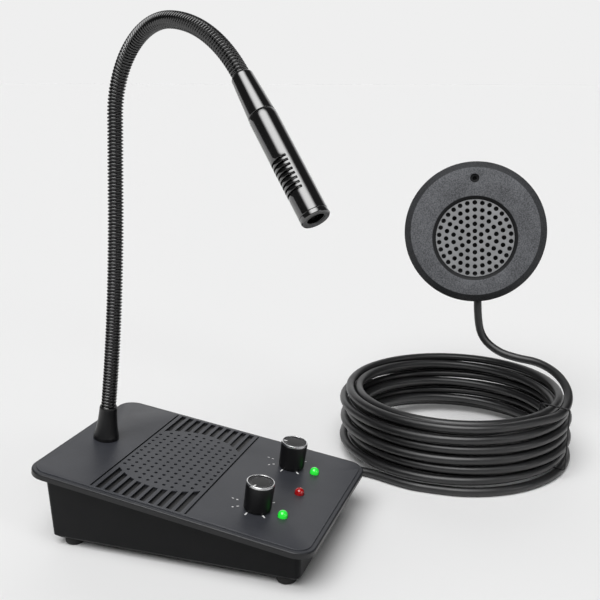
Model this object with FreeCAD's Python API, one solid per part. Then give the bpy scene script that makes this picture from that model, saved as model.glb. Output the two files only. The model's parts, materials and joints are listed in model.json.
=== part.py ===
import FreeCAD, Part
import math
import os

# Teller window intercom: a wedge shaped counter console with a gooseneck microphone,
# and a round window unit joined to it by a long coiled cable.
# Millimetres, +Z up, table top at Z = 0, origin under the middle of the console.
# The clerk sits on the -Y side, and +X is at the clerk's right hand.

V = FreeCAD.Vector
X, Y, Z = V(1, 0, 0), V(0, 1, 0), V(0, 0, 1)

# Console
console_width = 105.0
console_length = 151.0
console_rear_height = 45.0
console_front_height = 23.5
corner_radius = 10.0
foot_height = 4.0

# Top cover
lip_depth = 3.1
panel_rise = 0.5
panel_inset = 2.4
cover_wall = 2.4
skirt_depth = 3.0
skirt_wall = 1.6
skirt_clearance = 0.3
groove_width = 1.0
groove_depth = 0.8
groove_end_inset = 3.6
rear_groove_share = 0.23734
front_groove_share = 0.575
channel_count = 10
channel_pitch_share = 0.0932
channel_width_share = 0.604
channel_depth = 1.2
field_margin = 1.0
hole_columns = 14
hole_rows = 11
hole_column_share = 0.04286
hole_row_share = 0.08835
hole_radius = 0.9
hole_field_inset = 0.8
lip_edge = 0.9
panel_edge = 0.3

# Bottom case
case_inset_top = 6.2
case_inset_floor = 8.2
case_wall = 2.4
case_edge_bevel = 1.8
flare_inset = 2.6
flare_middle_inset = 3.6
flare_step = 1.6
flare_depth = 4.9
foot_radius = 5.0
foot_inset_x = 15.5
foot_inset_y = 17.0
foot_peg_radius = 1.9
foot_peg_length = 2.0
peg_clearance = 0.1
boss_radius = 3.4
boss_inset_x = 15.5
boss_inset_rear = 27.0
boss_inset_front = 30.0
case_screw_radius = 1.45
case_screw_head_radius = 2.7
case_screw_head_depth = 1.4
case_screw_length = 12.0
thread_clearance = 0.05
case_screw_pass_clearance = 0.25
screw_slot_width = 0.6

# Boards and the small screws that hold them
board_thickness = 1.6
board_side_inset = 19.5
main_board_length = 34.0
main_board_rear_inset = 12.5
main_board_rise = 2.0
control_board_length = 31.0
control_board_depth = 10.2
post_radius = 2.6
small_screw_radius = 1.2
small_screw_length = 4.6
small_screw_head_radius = 2.1
small_screw_head_height = 1.4
control_post_share = 0.467
control_post_rear_inset = 42.76
control_post_front_inset = 17.76
main_post_inset = 4.0
capacitor_radius = 4.0
capacitor_height = 9.0
capacitor_spacing = 11.0
chip_width = 12.0
chip_place_share = 0.667
chip_height = 2.4

# Console loudspeaker
speaker_share = 0.83704
speaker_flange_thickness = 1.4
speaker_seat_gap = 1.0
speaker_basket_depth = 11.0
speaker_basket_wall = 1.2
speaker_magnet_share = 0.4545
speaker_magnet_height = 6.5
speaker_cone_inset = 4.5
speaker_cone_depth = 8.0
speaker_cone_wall = 0.6
speaker_roll_walls = 3
speaker_coil_radius = 7.0
speaker_ear_reach = 3.0
speaker_ear_radius = 3.2
speaker_window_count = 4

# Volume controls
control_side_inset = 26.8
knob_front_inset = 36.62
led_front_inset = 23.2
pot_size = 11.0
pot_gap = 0.8
bushing_radius = 3.5
bushing_clearance = 0.2
bushing_rise = 3.0
shaft_radius = 3.0
shaft_clearance = 0.05
pot_nut_radius = 4.9
pot_nut_thickness = 1.5
knob_gap = 0.7
knob_height = 14.4
knob_base_radius = 6.95
knob_top_radius = 7.15
knob_recess_radius = 5.6
knob_recess_depth = 3.6
knob_bore_clearance = 0.02
knob_shaft_engagement = 8.0
rim_width = 0.65
rim_height = 1.1
knob_cap_drop = 0.2
knob_side_reveal = 0.3
pointer_width = 0.9
pointer_length = 2.6
pointer_depth = 0.3
pointer_inset = 0.15
left_pointer_angle = -75.0
right_pointer_angle = -12.0

# Indicator lamps
led_radius = 2.5
led_hole_clearance = 0.2
led_flange_radius = 2.9
led_flange_height = 1.0
led_flange_drop = 2.0
led_straight_rise = 0.7
lead_radius = 0.3
lead_spacing = 2.54

# Rear sockets and switch
socket_height = 14.4
jack_post_gap = 6.5
jack_radius = 1.8
jack_depth = 12.0
power_place_share = 0.449275
power_radius = 3.2
power_pin_radius = 1.0
power_depth = 9.0
line_place_share = 0.2285714
line_radius = 2.6
line_depth = 12.0
socket_wall = 1.2
socket_collar_radius = 5.2
socket_collar_thickness = 0.8
socket_clearance = 0.15
switch_side_inset = 19.5
switch_height_share = 0.53333
rocker_radius = 5.6
rocker_width = 7.4
rocker_face_rise = 1.4
rocker_tilt = 11.0
rocker_gap = 0.35
rocker_pin_radius = 1.0
rocker_pin_length = 0.9
pin_clearance = 0.05
switch_wall = 1.4
switch_bezel = 1.4
switch_bezel_thickness = 1.0
switch_depth = 9.0

# Gooseneck
neck_rear_gap = 15.09784
neck_heading = 28.6
neck_crest_radius = 4.1
neck_root_radius = 3.2
neck_bore_radius = 1.95
wire_radius = 1.6
rib_pitch = 1.75
rib_rise_share = 0.22
rib_crest_share = 0.58
rib_fall_share = 0.8
lean_length = 111.4
lean_turn = -8.6
straight_length = 43.3
crook_length = 72.6
crook_turn = 94.6
nose_length = 60.8
nose_turn = 44.9
flex_length = 7.0
lower_length = 28.0
flex_end_before_crook = 2.3
flex_end_past_crook = 1.7
boot_height = 19.0
boot_base_radius = 6.9
boot_base_height = 2.4
boot_shoulder_radius = 5.7
boot_shoulder_height = 6.0
boot_top_radius = 5.2
boot_top_edge = 0.5
ferrule_flange_radius = 5.0
ferrule_flange_height = 2.0
ferrule_radius = 3.3
thread_radius = 4.0
thread_length = 9.0
neck_nut_flats = 12.0
neck_nut_thickness = 4.0
fit_clearance = 0.15

# Microphone head
head_length = 73.7
adapter_length = 21.0
adapter_start_radius = 5.0
adapter_end_inset = 0.25
adapter_edge = 0.5
barrel_radius = 6.25
barrel_wall = 1.0
seam_gap = 0.3
spigot_length = 3.0
end_ring_length = 2.4
end_ring_opening_share = 0.592
end_ring_step = 0.4
end_ring_spigot = 2.4
slot_count = 8
slot_columns = 2
slot_pitch = 2.2
slot_width = 0.95
slot_span = 106.0
slot_start = 44.6
mesh_thickness = 0.5
capsule_radius = 3.0
capsule_length = 5.0
holder_gap = 0.35

# Window unit
unit_radius = 46.0
unit_back_inset = 2.5
unit_face_inset = 4.4
unit_depth = 19.0
unit_back_depth = 9.0
unit_edge = 3.2
unit_bevel_depth = 4.2
unit_wall = 2.4
unit_center_x = 190.1
unit_center_y = -111.8
unit_center_z = 135.5
unit_heading = 187.1
unit_tilt = 12.0
unit_roll = 2.9
grille_drop = 4.4
pocket_share = 0.6
pocket_depth = 1.6
grille_share = 0.55
grille_thickness = 1.0
grille_rings = 5
grille_pitch_share = 0.1838
grille_hole_radius = 1.5
grille_seat = 1.4
mic_hole_inset = 11.4
mic_hole_radius = 1.4
mic_pocket_radius = 2.9
mic_pocket_depth = 1.2
unit_capsule_radius = 3.0
unit_capsule_height = 4.0
unit_speaker_depth = 8.0
unit_magnet_share = 0.3755
unit_magnet_height = 3.4
unit_cone_share = 0.83
unit_cone_depth = 4.4
unit_cone_wall = 0.5
unit_coil_radius = 5.0
unit_screw_inset = 9.0
unit_screw_count = 4
unit_screw_turn = 45.0
unit_boss_radius = 3.0
unit_screw_radius = 1.25
unit_screw_head_radius = 2.4
unit_screw_head_depth = 1.2
unit_screw_length = 9.0
unit_board_width = 24.0
unit_board_length = 12.0
unit_board_inset = 14.0
unit_board_rise = 3.2
unit_post_place = 8.0
pad_thickness = 1.2
pad_inset = 6.0
cable_exit_offset = 1.7
grommet_radius = 4.4
grommet_length = 5.0
grommet_waist = 3.8

# Cable
cable_diameter = 5.2
coil_strand_gap = 1.1
coil_layers = 7
coil_radius = 71.4
coil_center_x = 147.1
coil_center_y = -109.5
coil_reference_angle = -51.6
coil_start_turns = 0.213
coil_end_turns = 12.375
spiral_turns = 1.5
climb_turns = 0.5
cable_lead = 13.2
plug_body_length = 9.5
plug_body_radius = 4.6
plug_boot_length = 7.0
console_lead = 16.0
plug_lead = 19.23
plug_boot_radius = 3.6
plug_tip_radius = 2.4
plug_tip_length = 11.0
plug_edge = 0.6
tie_wire_radius = 0.45
tie_place_angle = -111.6
tie_clearance = 0.35
tie_corner_radius = 2.4
tie_outer_allowance = 3.4

# Points of the cable's free stretches, chosen by hand along the photographed route
window_route = [
    V(176.5, -121.8, 66.7), V(174.4, -132.4, 59.0), V(173.0, -145.1, 56.3), V(170.7, -158.1, 55.9),
    V(163.6, -168.9, 53.4), V(153.2, -176.3, 49.8), V(141.3, -180.0, 45.9), V(129.0, -179.6, 42.6),
]
console_route = [
    V(78.6, -50.0, 2.6), V(75.4, -20.0, 2.6), V(71.2, 12.0, 2.6), V(69.0, 44.0, 2.6), V(69.2, 74.0, 2.6),
    V(70.6, 102.4, 2.6), V(59.5, 118.7, 2.6), V(41.5, 124.5, 4.0), V(23.3, 119.0, 9.0),
]
run_share = 0.45

# One overrun for every cut, and the part of it that only has to break a surface
overrun = 2.0
stitch = 0.2

slope = math.atan2(console_rear_height - console_front_height, console_length)
plate_length = console_length / math.cos(slope)
center_height = (console_rear_height + console_front_height) / 2
plate_frame = FreeCAD.Placement(V(0, 0, center_height), FreeCAD.Rotation(X, math.degrees(slope)))
case_floor_top = foot_height + case_wall
cover_underside = panel_rise + lip_depth
half_width = console_width / 2
half_plate = plate_length / 2

# Sizes and places that follow the ones above
rear_groove_place = plate_length * rear_groove_share
front_groove_place = plate_length * front_groove_share
field_middle = (rear_groove_place + front_groove_place) / 2
groove_spacing = front_groove_place - rear_groove_place
channel_pitch = groove_spacing * channel_pitch_share
channel_width = channel_pitch * channel_width_share
hole_pitch_x = console_width * hole_column_share
hole_pitch_y = groove_spacing * hole_row_share
neck_place_rear = (neck_rear_gap + (cover_wall + neck_nut_thickness) * math.sin(slope)) / math.cos(slope)
speaker_room_across = half_width - case_inset_floor - case_wall - skirt_clearance - skirt_wall
speaker_room_along = field_middle - neck_place_rear - neck_nut_flats / math.sqrt(3)
speaker_room = 2 * speaker_room_across * speaker_room_along / (speaker_room_across + speaker_room_along)
speaker_flange_radius = speaker_room * speaker_share
speaker_cone_radius = speaker_flange_radius - speaker_cone_inset
speaker_magnet_radius = speaker_flange_radius * speaker_magnet_share
speaker_ear_place = speaker_flange_radius + speaker_ear_reach
field_radius = speaker_flange_radius + field_margin
hole_field_radius = speaker_flange_radius - hole_field_inset
board_width = console_width - 2 * board_side_inset
control_place_x = half_width - control_side_inset
control_post_x = control_place_x * control_post_share
line_place_x = half_width * line_place_share
jack_place_x = jack_post_gap + main_post_inset - board_width / 2
power_place_x = jack_place_x + (line_place_x - jack_place_x) * power_place_share
switch_place_x = half_width - switch_side_inset
switch_place_z = console_rear_height * switch_height_share
adapter_end_radius = barrel_radius - adapter_end_inset
end_ring_opening = barrel_radius * end_ring_opening_share
holder_radius = barrel_radius - barrel_wall - holder_gap
unit_back_radius = unit_radius - unit_back_inset
unit_face_radius = unit_radius - unit_face_inset
pocket_radius = unit_radius * pocket_share
grille_radius = unit_radius * grille_share
grille_ring_pitch = grille_radius * grille_pitch_share
unit_magnet_radius = grille_radius * unit_magnet_share
unit_cone_radius = grille_radius * unit_cone_share
mic_hole_place = unit_radius - mic_hole_inset
unit_screw_place = unit_radius - unit_screw_inset
unit_board_place = unit_radius - unit_board_inset
pad_radius = unit_radius - pad_inset
coil_pitch = cable_diameter + coil_strand_gap


def box(x0, x1, y0, y1, z0, z1):
    return Part.makeBox(x1 - x0, y1 - y0, z1 - z0, V(x0, y0, z0))


def rod(radius, z0, z1, x=0, y=0):
    return Part.makeCylinder(radius, z1 - z0, V(x, y, z0), Z)


def ring(outer, inner, z0, z1, x=0, y=0):
    return rod(outer, z0, z1, x, y).cut(rod(inner, z0 - overrun, z1 + overrun, x, y))


def turned(points):
    """A solid of revolution about Z from a closed outline of (radius, height) points."""
    outline = [V(r, 0, z) for r, z in points]
    face = Part.Face(Part.makePolygon(outline + outline[:1]))
    return face.revolve(V(0, 0, 0), Z, 360)


def moved(shape, placement):
    shape = shape.copy()
    shape.Placement = placement.multiply(shape.Placement)
    return shape


def on_plate(shape):
    """Carry a shape drawn on the sloping plate, with its top surface at zero, into the part's frame."""
    return moved(shape, plate_frame)


def plate_y(place_from_rear):
    """Where a distance measured down the slope from the plate's rear edge lies."""
    return half_plate - place_from_rear


def rounded_wire(width, length, radius, height):
    """A rectangle with rounded corners, centred, as a closed wire at one height."""
    hw, hl, r = width / 2, length / 2, radius
    d = r * (1 - math.sqrt(2) / 2)
    edges = []
    corners = [(1, 1), (-1, 1), (-1, -1), (1, -1)]
    for index, (sx, sy) in enumerate(corners):
        a = V(sx * hw, sy * (hl - r), height)
        b = V(sx * (hw - r), sy * hl, height)
        middle = V(sx * (hw - d), sy * (hl - d), height)
        start, end = (a, b) if sx * sy > 0 else (b, a)
        edges.append(Part.Arc(start, middle, end).toShape())
        nx, ny = corners[(index + 1) % len(corners)]
        na = V(nx * hw, ny * (hl - r), height)
        nb = V(nx * (hw - r), ny * hl, height)
        following = na if nx * ny > 0 else nb
        edges.append(Part.makeLine(end, following))
    return Part.Wire(edges)


def inset_wire(width, length, inset, height):
    return rounded_wire(width - 2 * inset, length - 2 * inset, max(corner_radius - inset, cover_wall), height)


def slab(width, length, inset, z0, z1):
    return Part.Face(inset_wire(width, length, inset, z0)).extrude(V(0, 0, z1 - z0))


def stacked(width, length, sections):
    """A solid through rounded rectangles, each given as (inset, height)."""
    return Part.makeLoft([inset_wire(width, length, inset, z) for inset, z in sections], True, True)


def fused(shapes):
    whole = shapes[0]
    return whole.multiFuse(shapes[1:]) if len(shapes) > 1 else whole


def drilled(shape, tools):
    return shape.cut(Part.makeCompound(tools)) if tools else shape


# Top cover

def groove_cutters():
    end = half_width - groove_end_inset
    cutters = []
    for place in (rear_groove_place, front_groove_place):
        y = plate_y(place)
        cutters.append(box(-end, end, y - groove_width / 2, y + groove_width / 2, -groove_depth, overrun))
    return cutters


def channel_cutters():
    """Ten channels on each side, which stop at the round field of holes."""
    end = half_width - groove_end_inset
    keep = rod(field_radius, -channel_depth - overrun, 2 * overrun, 0, plate_y(field_middle))
    cutters = []
    for index in range(channel_count):
        y = plate_y(field_middle) + (index - (channel_count - 1) / 2) * channel_pitch
        bar = box(-end, end, y - channel_width / 2, y + channel_width / 2, -channel_depth, overrun)
        cutters.append(bar.cut(keep))
    return cutters


def field_holes():
    cutters = []
    for column in range(hole_columns):
        for row in range(hole_rows):
            x = (column - (hole_columns - 1) / 2) * hole_pitch_x
            y = (row - (hole_rows - 1) / 2) * hole_pitch_y
            if math.hypot(x, y) <= hole_field_radius:
                cutters.append(rod(hole_radius, -cover_wall - overrun, overrun, x, plate_y(field_middle) + y))
    return cutters


def control_places():
    y = knob_front_inset - half_plate
    return [(-control_place_x, y), (control_place_x, y)]


def led_places():
    return [(x, led_front_inset - half_plate) for x in (-control_place_x, 0, control_place_x)]


def control_posts():
    return [(sx * control_post_x, inset - half_plate) for sx in (-1, 1)
            for inset in (control_post_rear_inset, control_post_front_inset)]


def speaker_ears():
    reach = speaker_ear_place * math.sqrt(2) / 2
    return [(sx * reach, plate_y(field_middle) + sy * reach) for sx in (-1, 1) for sy in (-1, 1)]


def boss_places():
    """Case screw places, in plan."""
    x = half_width - boss_inset_x
    rear, front = console_length / 2 - boss_inset_rear, -console_length / 2 + boss_inset_front
    return [(-x, rear), (x, rear), (-x, front), (x, front)]


neck_y = plate_y(neck_place_rear)


def rounded_top(shape, level, radius):
    """Rounds the edges of a slab's upper face."""
    edges = [edge for edge in shape.Edges if all(abs(vertex.Z - level) < stitch for vertex in edge.Vertexes)]
    return shape.makeFillet(radius, edges)


def top_cover():
    lip = slab(console_width, plate_length, 0, -cover_underside, -panel_rise)
    lip = rounded_top(lip, -panel_rise, lip_edge)
    panel = slab(console_width, plate_length, panel_inset, -panel_rise - stitch, 0)
    panel = rounded_top(panel, 0, panel_edge)
    skirt_inset = case_inset_floor + case_wall + skirt_clearance
    skirt = slab(console_width, plate_length, skirt_inset, -cover_underside - skirt_depth, -cover_wall)
    pocket = slab(console_width, plate_length, skirt_inset + skirt_wall,
                  -cover_underside - skirt_depth - overrun, -cover_wall)
    cover = fused([lip, panel, skirt]).cut(pocket)
    posts = [rod(post_radius, -control_board_depth, -cover_wall + stitch, x, y) for x, y in control_posts()]
    seat = -cover_wall - speaker_seat_gap
    posts += [rod(post_radius, seat, -cover_wall + stitch, x, y) for x, y in speaker_ears()]
    seat_ring = ring(speaker_flange_radius, speaker_flange_radius - post_radius, seat, -cover_wall + stitch,
                     0, plate_y(field_middle))
    cover = on_plate(fused([cover, seat_ring] + posts))
    above = on_plate(slab(console_width, plate_length, 0, -cover_wall, console_rear_height))
    bosses = [rod(boss_radius, case_floor_top, console_rear_height, x, y).cut(above)
              for x, y in boss_places()]
    cover = fused([cover] + bosses)
    cutters = [on_plate(tool) for tool in groove_cutters() + channel_cutters() + field_holes()]
    hole = bushing_radius + bushing_clearance
    cutters += [on_plate(rod(hole, -cover_underside, overrun, x, y)) for x, y in control_places()]
    hole = led_radius + led_hole_clearance
    cutters += [on_plate(rod(hole, -cover_underside, overrun, x, y)) for x, y in led_places()]
    cutters.append(on_plate(rod(thread_radius + fit_clearance, -cover_underside, overrun, 0, neck_y)))
    room = neck_nut_flats / math.sqrt(3) + skirt_clearance
    cutters.append(on_plate(rod(room, -cover_underside - skirt_depth - overrun, -cover_wall, 0, neck_y)))
    bore = small_screw_radius + thread_clearance
    depth = -control_board_depth + small_screw_length
    cutters += [on_plate(rod(bore, -control_board_depth - overrun, depth, x, y)) for x, y in control_posts()]
    cutters += [on_plate(rod(bore, seat - overrun, -channel_depth - stitch, x, y)) for x, y in speaker_ears()]
    bore = case_screw_radius + thread_clearance
    tip = foot_height + case_screw_head_depth + case_screw_length
    cutters += [rod(bore, case_floor_top - overrun, tip, x, y) for x, y in boss_places()]
    return drilled(cover, cutters)


# Bottom case and what stands under it

def rear_face(height):
    """Where the outer face of the leaning rear wall lies at a height."""
    low = foot_height + case_edge_bevel
    share = (height - low) / (console_rear_height - low)
    return console_length / 2 - case_inset_floor + (case_inset_floor - case_inset_top) * share


def socket_face():
    return rear_face(socket_height - socket_collar_radius)


def switch_face():
    return rear_face(switch_place_z - switch_half_height() - switch_bezel)


def foot_places():
    x, y = half_width - foot_inset_x, console_length / 2 - foot_inset_y
    return [(sx * x, sy * y) for sx in (-1, 1) for sy in (-1, 1)]


def main_board_middle():
    return console_length / 2 - main_board_rear_inset - main_board_length / 2


def main_posts():
    x = board_width / 2 - main_post_inset
    y = main_board_length / 2 - main_post_inset
    return [(sx * x, main_board_middle() + sy * y) for sx in (-1, 1) for sy in (-1, 1)]


def rear_rod(radius, x, reach_in, reach_out):
    """A rod along Y at a socket, from inside the case to outside the socket's face on the rear wall."""
    return Part.makeCylinder(radius, reach_in + reach_out, V(x, socket_face() - reach_in, socket_height), Y)


def sockets():
    return [(jack_place_x, jack_radius, jack_depth), (power_place_x, power_radius, power_depth),
            (line_place_x, line_radius, line_depth)]


def switch_half_height():
    return rocker_radius + rocker_gap + switch_wall


def switch_half_width():
    return rocker_width / 2 + rocker_gap + switch_wall


def bottom_case():
    edge = case_inset_floor + case_edge_bevel
    outer = stacked(console_width, console_length, [(edge, foot_height), (case_inset_floor,
                    foot_height + case_edge_bevel), (case_inset_top, console_rear_height)])
    inner = stacked(console_width, console_length, [(case_inset_floor + case_wall, case_floor_top),
                    (case_inset_top + case_wall, console_rear_height + overrun)])
    above = slab(2 * console_width, 2 * plate_length, 0, -cover_underside, console_rear_height)
    shell = outer.cut(on_plate(above))
    flare = on_plate(stacked(console_width, plate_length, [
        (case_inset_floor, -cover_underside - flare_depth),
        (flare_middle_inset, -cover_underside - flare_step), (flare_inset, -cover_underside)]))
    shell = fused([shell, flare]).cut(inner)
    posts = [rod(post_radius, case_floor_top - stitch, case_floor_top + main_board_rise, x, y)
             for x, y in main_posts()]
    shell = fused([shell] + posts)
    cutters = [rod(case_screw_radius + case_screw_pass_clearance, foot_height - overrun,
                   case_floor_top + overrun, x, y) for x, y in boss_places()]
    cutters += [rod(case_screw_head_radius + case_screw_pass_clearance, foot_height - overrun,
                    foot_height + case_screw_head_depth, x, y) for x, y in boss_places()]
    cutters += [rod(foot_peg_radius + peg_clearance, foot_height - overrun, case_floor_top + overrun, x, y)
                for x, y in foot_places()]
    bore = small_screw_radius + thread_clearance
    tip = case_floor_top + main_board_rise + board_thickness - small_screw_length
    cutters += [rod(bore, tip, case_floor_top + main_board_rise + overrun, x, y) for x, y in main_posts()]
    for x, radius, depth in sockets():
        cutters.append(rear_rod(radius + socket_wall + socket_clearance, x, depth, overrun))
        cutters.append(rear_rod(socket_collar_radius + socket_clearance, x, 0, overrun))
    cutters.append(switch_hole(socket_clearance, switch_depth))
    cutters.append(switch_hole(switch_bezel + socket_clearance, 0))
    return drilled(shell, cutters)


def switch_hole(margin, reach_in):
    """A rectangular cut for the switch, a margin larger all round than its body."""
    wide, high = switch_half_width() + margin, switch_half_height() + margin
    return box(switch_place_x - wide, switch_place_x + wide, switch_face() - reach_in, switch_face() + overrun,
               switch_place_z - high, switch_place_z + high)


def rubber_feet():
    feet = []
    for x, y in foot_places():
        edge = peg_clearance * foot_peg_radius * foot_height
        pad = turned([(0, 0), (foot_radius - edge, 0), (foot_radius, edge), (foot_radius, foot_height),
                      (foot_peg_radius, foot_height), (foot_peg_radius, foot_height + foot_peg_length),
                      (0, foot_height + foot_peg_length)])
        feet.append(moved(pad, FreeCAD.Placement(V(x, y, 0), FreeCAD.Rotation())))
    return Part.makeCompound(feet)


def screw(radius, length, head_radius, head_height, slot):
    """A pan head screw that points up, with the underside of its head at zero."""
    body = fused([rod(radius, -stitch, length), rod(head_radius, -head_height, 0)])
    return body.cut(box(-head_radius, head_radius, -slot / 2, slot / 2, -head_height - overrun,
                        -head_height / 2))


def case_screws():
    pattern = screw(case_screw_radius, case_screw_length, case_screw_head_radius, case_screw_head_depth,
                    screw_slot_width)
    seat = foot_height + case_screw_head_depth
    return Part.makeCompound([moved(pattern, FreeCAD.Placement(V(x, y, seat), FreeCAD.Rotation()))
                              for x, y in boss_places()])


def small_screws():
    """The screws of the loudspeaker and of both circuit boards."""
    pattern = screw(small_screw_radius, small_screw_length, small_screw_head_radius, small_screw_head_height,
                    screw_slot_width)
    turn = FreeCAD.Rotation()
    seat = -control_board_depth - board_thickness
    placed = [on_plate(moved(pattern, FreeCAD.Placement(V(x, y, seat), turn))) for x, y in control_posts()]
    seat = -cover_wall - speaker_seat_gap - speaker_flange_thickness
    short = screw(small_screw_radius, -seat - channel_depth - 2 * stitch, small_screw_head_radius,
                  small_screw_head_height, screw_slot_width)
    placed += [on_plate(moved(short, FreeCAD.Placement(V(x, y, seat), turn))) for x, y in speaker_ears()]
    down = FreeCAD.Rotation(X, 180)
    seat = case_floor_top + main_board_rise + board_thickness
    placed += [moved(pattern, FreeCAD.Placement(V(x, y, seat), down)) for x, y in main_posts()]
    return Part.makeCompound(placed)


# Loudspeaker of the console

def speaker_basket(flange_radius, depth, neck, cone_radius, cone_wall, windows):
    """A pressed basket that hangs below its flange, whose upper face is at zero, with a ledge for its cone."""
    thickness, wall = speaker_flange_thickness, speaker_basket_wall
    seat = cone_radius + fit_clearance
    ledge = cone_radius - speaker_roll_walls * cone_wall
    shoulder = seat + 2 * wall
    outline = [(flange_radius, 0), (flange_radius, -thickness), (shoulder, -thickness),
               (shoulder, -thickness - wall), (neck, -depth), (0, -depth), (0, -depth + wall),
               (neck - wall, -depth + wall), (ledge, -2 * cone_wall), (seat, -2 * cone_wall), (seat, 0)]
    body = turned(outline)
    cutters = []
    for index in range(windows):
        bar = box(neck / 2 + wall, shoulder, -neck / 3, neck / 3, -depth + 2 * wall, -2 * wall - thickness)
        turn = FreeCAD.Rotation(Z, 360 * index / windows)
        cutters.append(moved(bar, FreeCAD.Placement(V(0, 0, 0), turn)))
    return drilled(body, cutters)


def speaker_cone(radius, depth, wall, coil_radius):
    """A paper cone with its dust cap and rolled edge, as one thin shell below zero."""
    roll = speaker_roll_walls * wall
    dome = coil_radius / 2
    outline = [(radius, -wall), (radius - roll, -wall + roll / 3), (radius - 2 * roll, -2 * wall),
               (coil_radius, -depth), (dome, -depth + dome / 2), (0, -depth + dome * 2 / 3),
               (0, -depth + dome * 2 / 3 - wall), (dome, -depth + dome / 2 - wall),
               (coil_radius, -depth - 2 * wall), (radius - 2 * roll, -3 * wall), (radius - roll, -2 * wall),
               (radius, -2 * wall)]
    return turned(outline)


def console_speaker_place():
    return FreeCAD.Placement(V(0, plate_y(field_middle), -cover_wall - speaker_seat_gap), FreeCAD.Rotation())


def console_speaker_basket():
    body = speaker_basket(speaker_flange_radius, speaker_basket_depth, speaker_magnet_radius,
                          speaker_cone_radius, speaker_cone_wall, speaker_window_count)
    body = moved(body, console_speaker_place())
    seat = -cover_wall - speaker_seat_gap
    ears = [rod(speaker_ear_radius, seat - speaker_flange_thickness, seat, x, y) for x, y in speaker_ears()]
    holes = [rod(small_screw_radius + fit_clearance, seat - overrun - speaker_flange_thickness, seat + overrun,
                 x, y) for x, y in speaker_ears()]
    return on_plate(drilled(fused([body] + ears), holes))


def console_speaker_magnet():
    top = -speaker_basket_depth
    magnet = rod(speaker_magnet_radius, top - speaker_magnet_height, top)
    return on_plate(moved(magnet, console_speaker_place()))


def console_speaker_cone():
    cone = speaker_cone(speaker_cone_radius, speaker_cone_depth, speaker_cone_wall, speaker_coil_radius)
    return on_plate(moved(cone, console_speaker_place()))


# Circuit boards

def main_board():
    y = main_board_middle()
    z = case_floor_top + main_board_rise
    board = box(-board_width / 2, board_width / 2, y - main_board_length / 2,
                y + main_board_length / 2, z, z + board_thickness)
    holes = [rod(small_screw_radius + fit_clearance, z - overrun, z + board_thickness + overrun, px, py)
             for px, py in main_posts()]
    return drilled(board, holes)


def board_components():
    """Two capacitors and the amplifier chip that stand on the main board."""
    z = case_floor_top + main_board_rise + board_thickness
    y = main_board_middle()
    cans = [rod(capacitor_radius, z, z + capacitor_height, x, y)
            for x in (capacitor_spacing / 2, -capacitor_spacing / 2)]
    x = board_width / 2 * chip_place_share
    chip = box(-x - chip_width / 2, -x + chip_width / 2, y - chip_width / 2, y + chip_width / 2,
               z, z + chip_height)
    return Part.makeCompound(cans + [chip])


def control_board():
    y = (control_post_rear_inset + control_post_front_inset) / 2 - half_plate
    board = box(-board_width / 2, board_width / 2, y - control_board_length / 2,
                y + control_board_length / 2, -control_board_depth - board_thickness, -control_board_depth)
    holes = [rod(small_screw_radius + fit_clearance, -control_board_depth - board_thickness - overrun,
                 -control_board_depth + overrun, px, py) for px, py in control_posts()]
    return on_plate(drilled(board, holes))


# Volume controls

def pot_body(x, y):
    top = -cover_wall - pot_gap
    half = pot_size / 2
    body = fused([box(x - half, x + half, y - half, y + half, -control_board_depth, top),
                  rod(bushing_radius, top - stitch, bushing_rise, x, y)])
    floor = -control_board_depth + board_thickness
    return on_plate(body.cut(rod(shaft_radius + shaft_clearance, floor, bushing_rise + overrun, x, y)))


def pot_shaft(x, y):
    floor = -control_board_depth + board_thickness + shaft_clearance
    return on_plate(rod(shaft_radius, floor, knob_gap + knob_recess_depth + knob_shaft_engagement, x, y))


def pot_nuts():
    nuts = [on_plate(ring(pot_nut_radius, bushing_radius + thread_clearance, 0, pot_nut_thickness, x, y))
            for x, y in control_places()]
    return Part.makeCompound(nuts)


def knob(x, y, pointer_angle):
    """The black knob: a slightly flared cylinder, open below, with a groove for its bright rim and a
    painted pointer sunk in its top."""
    base, top = knob_gap, knob_gap + knob_height
    groove = top - rim_height
    inner = knob_top_radius - knob_side_reveal - rim_width
    body = turned([(0, base), (knob_base_radius, base), (knob_top_radius, groove - rim_height),
                   (knob_top_radius, groove), (inner, groove), (inner, top - knob_cap_drop),
                   (0, top - knob_cap_drop)])
    recess = rod(knob_recess_radius, base - overrun, base + knob_recess_depth)
    bore = rod(shaft_radius + knob_bore_clearance, base, base + knob_recess_depth + knob_shaft_engagement)
    end = inner - pointer_inset
    pointer = box(-pointer_width / 2, pointer_width / 2, end - pointer_length, end,
                  top - knob_cap_drop - pointer_depth, top + overrun)
    pointer = moved(pointer, FreeCAD.Placement(V(0, 0, 0), FreeCAD.Rotation(Z, -pointer_angle)))
    body = body.cut(recess).cut(bore).cut(pointer)
    return on_plate(moved(body, FreeCAD.Placement(V(x, y, 0), FreeCAD.Rotation())))


def knob_rim(x, y):
    top = knob_gap + knob_height
    outer = knob_top_radius - knob_side_reveal
    bevel = knob_side_reveal
    rim = turned([(outer, top - rim_height), (outer, top - bevel), (outer - bevel, top),
                  (outer - rim_width + bevel / 2, top), (outer - rim_width, top - bevel / 2),
                  (outer - rim_width, top - rim_height)])
    return on_plate(moved(rim, FreeCAD.Placement(V(x, y, 0), FreeCAD.Rotation())))


# Indicator lamps

def led(x, y):
    """A domed lamp with its flange under the cover and two leads down to the board."""
    base = -cover_wall - led_flange_drop
    flange = rod(led_flange_radius, base, base + led_flange_height)
    dome = Part.makeSphere(led_radius, V(0, 0, led_straight_rise))
    body = fused([rod(led_radius, base, led_straight_rise), flange, dome])
    leads = [rod(lead_radius, -control_board_depth, base + stitch, sx * lead_spacing / 2) for sx in (-1, 1)]
    return on_plate(moved(fused([body] + leads), FreeCAD.Placement(V(x, y, 0), FreeCAD.Rotation())))


def green_leds():
    left, middle, right = led_places()
    return Part.makeCompound([led(*left), led(*right)])


# Sockets and the switch in the rear wall

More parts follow.
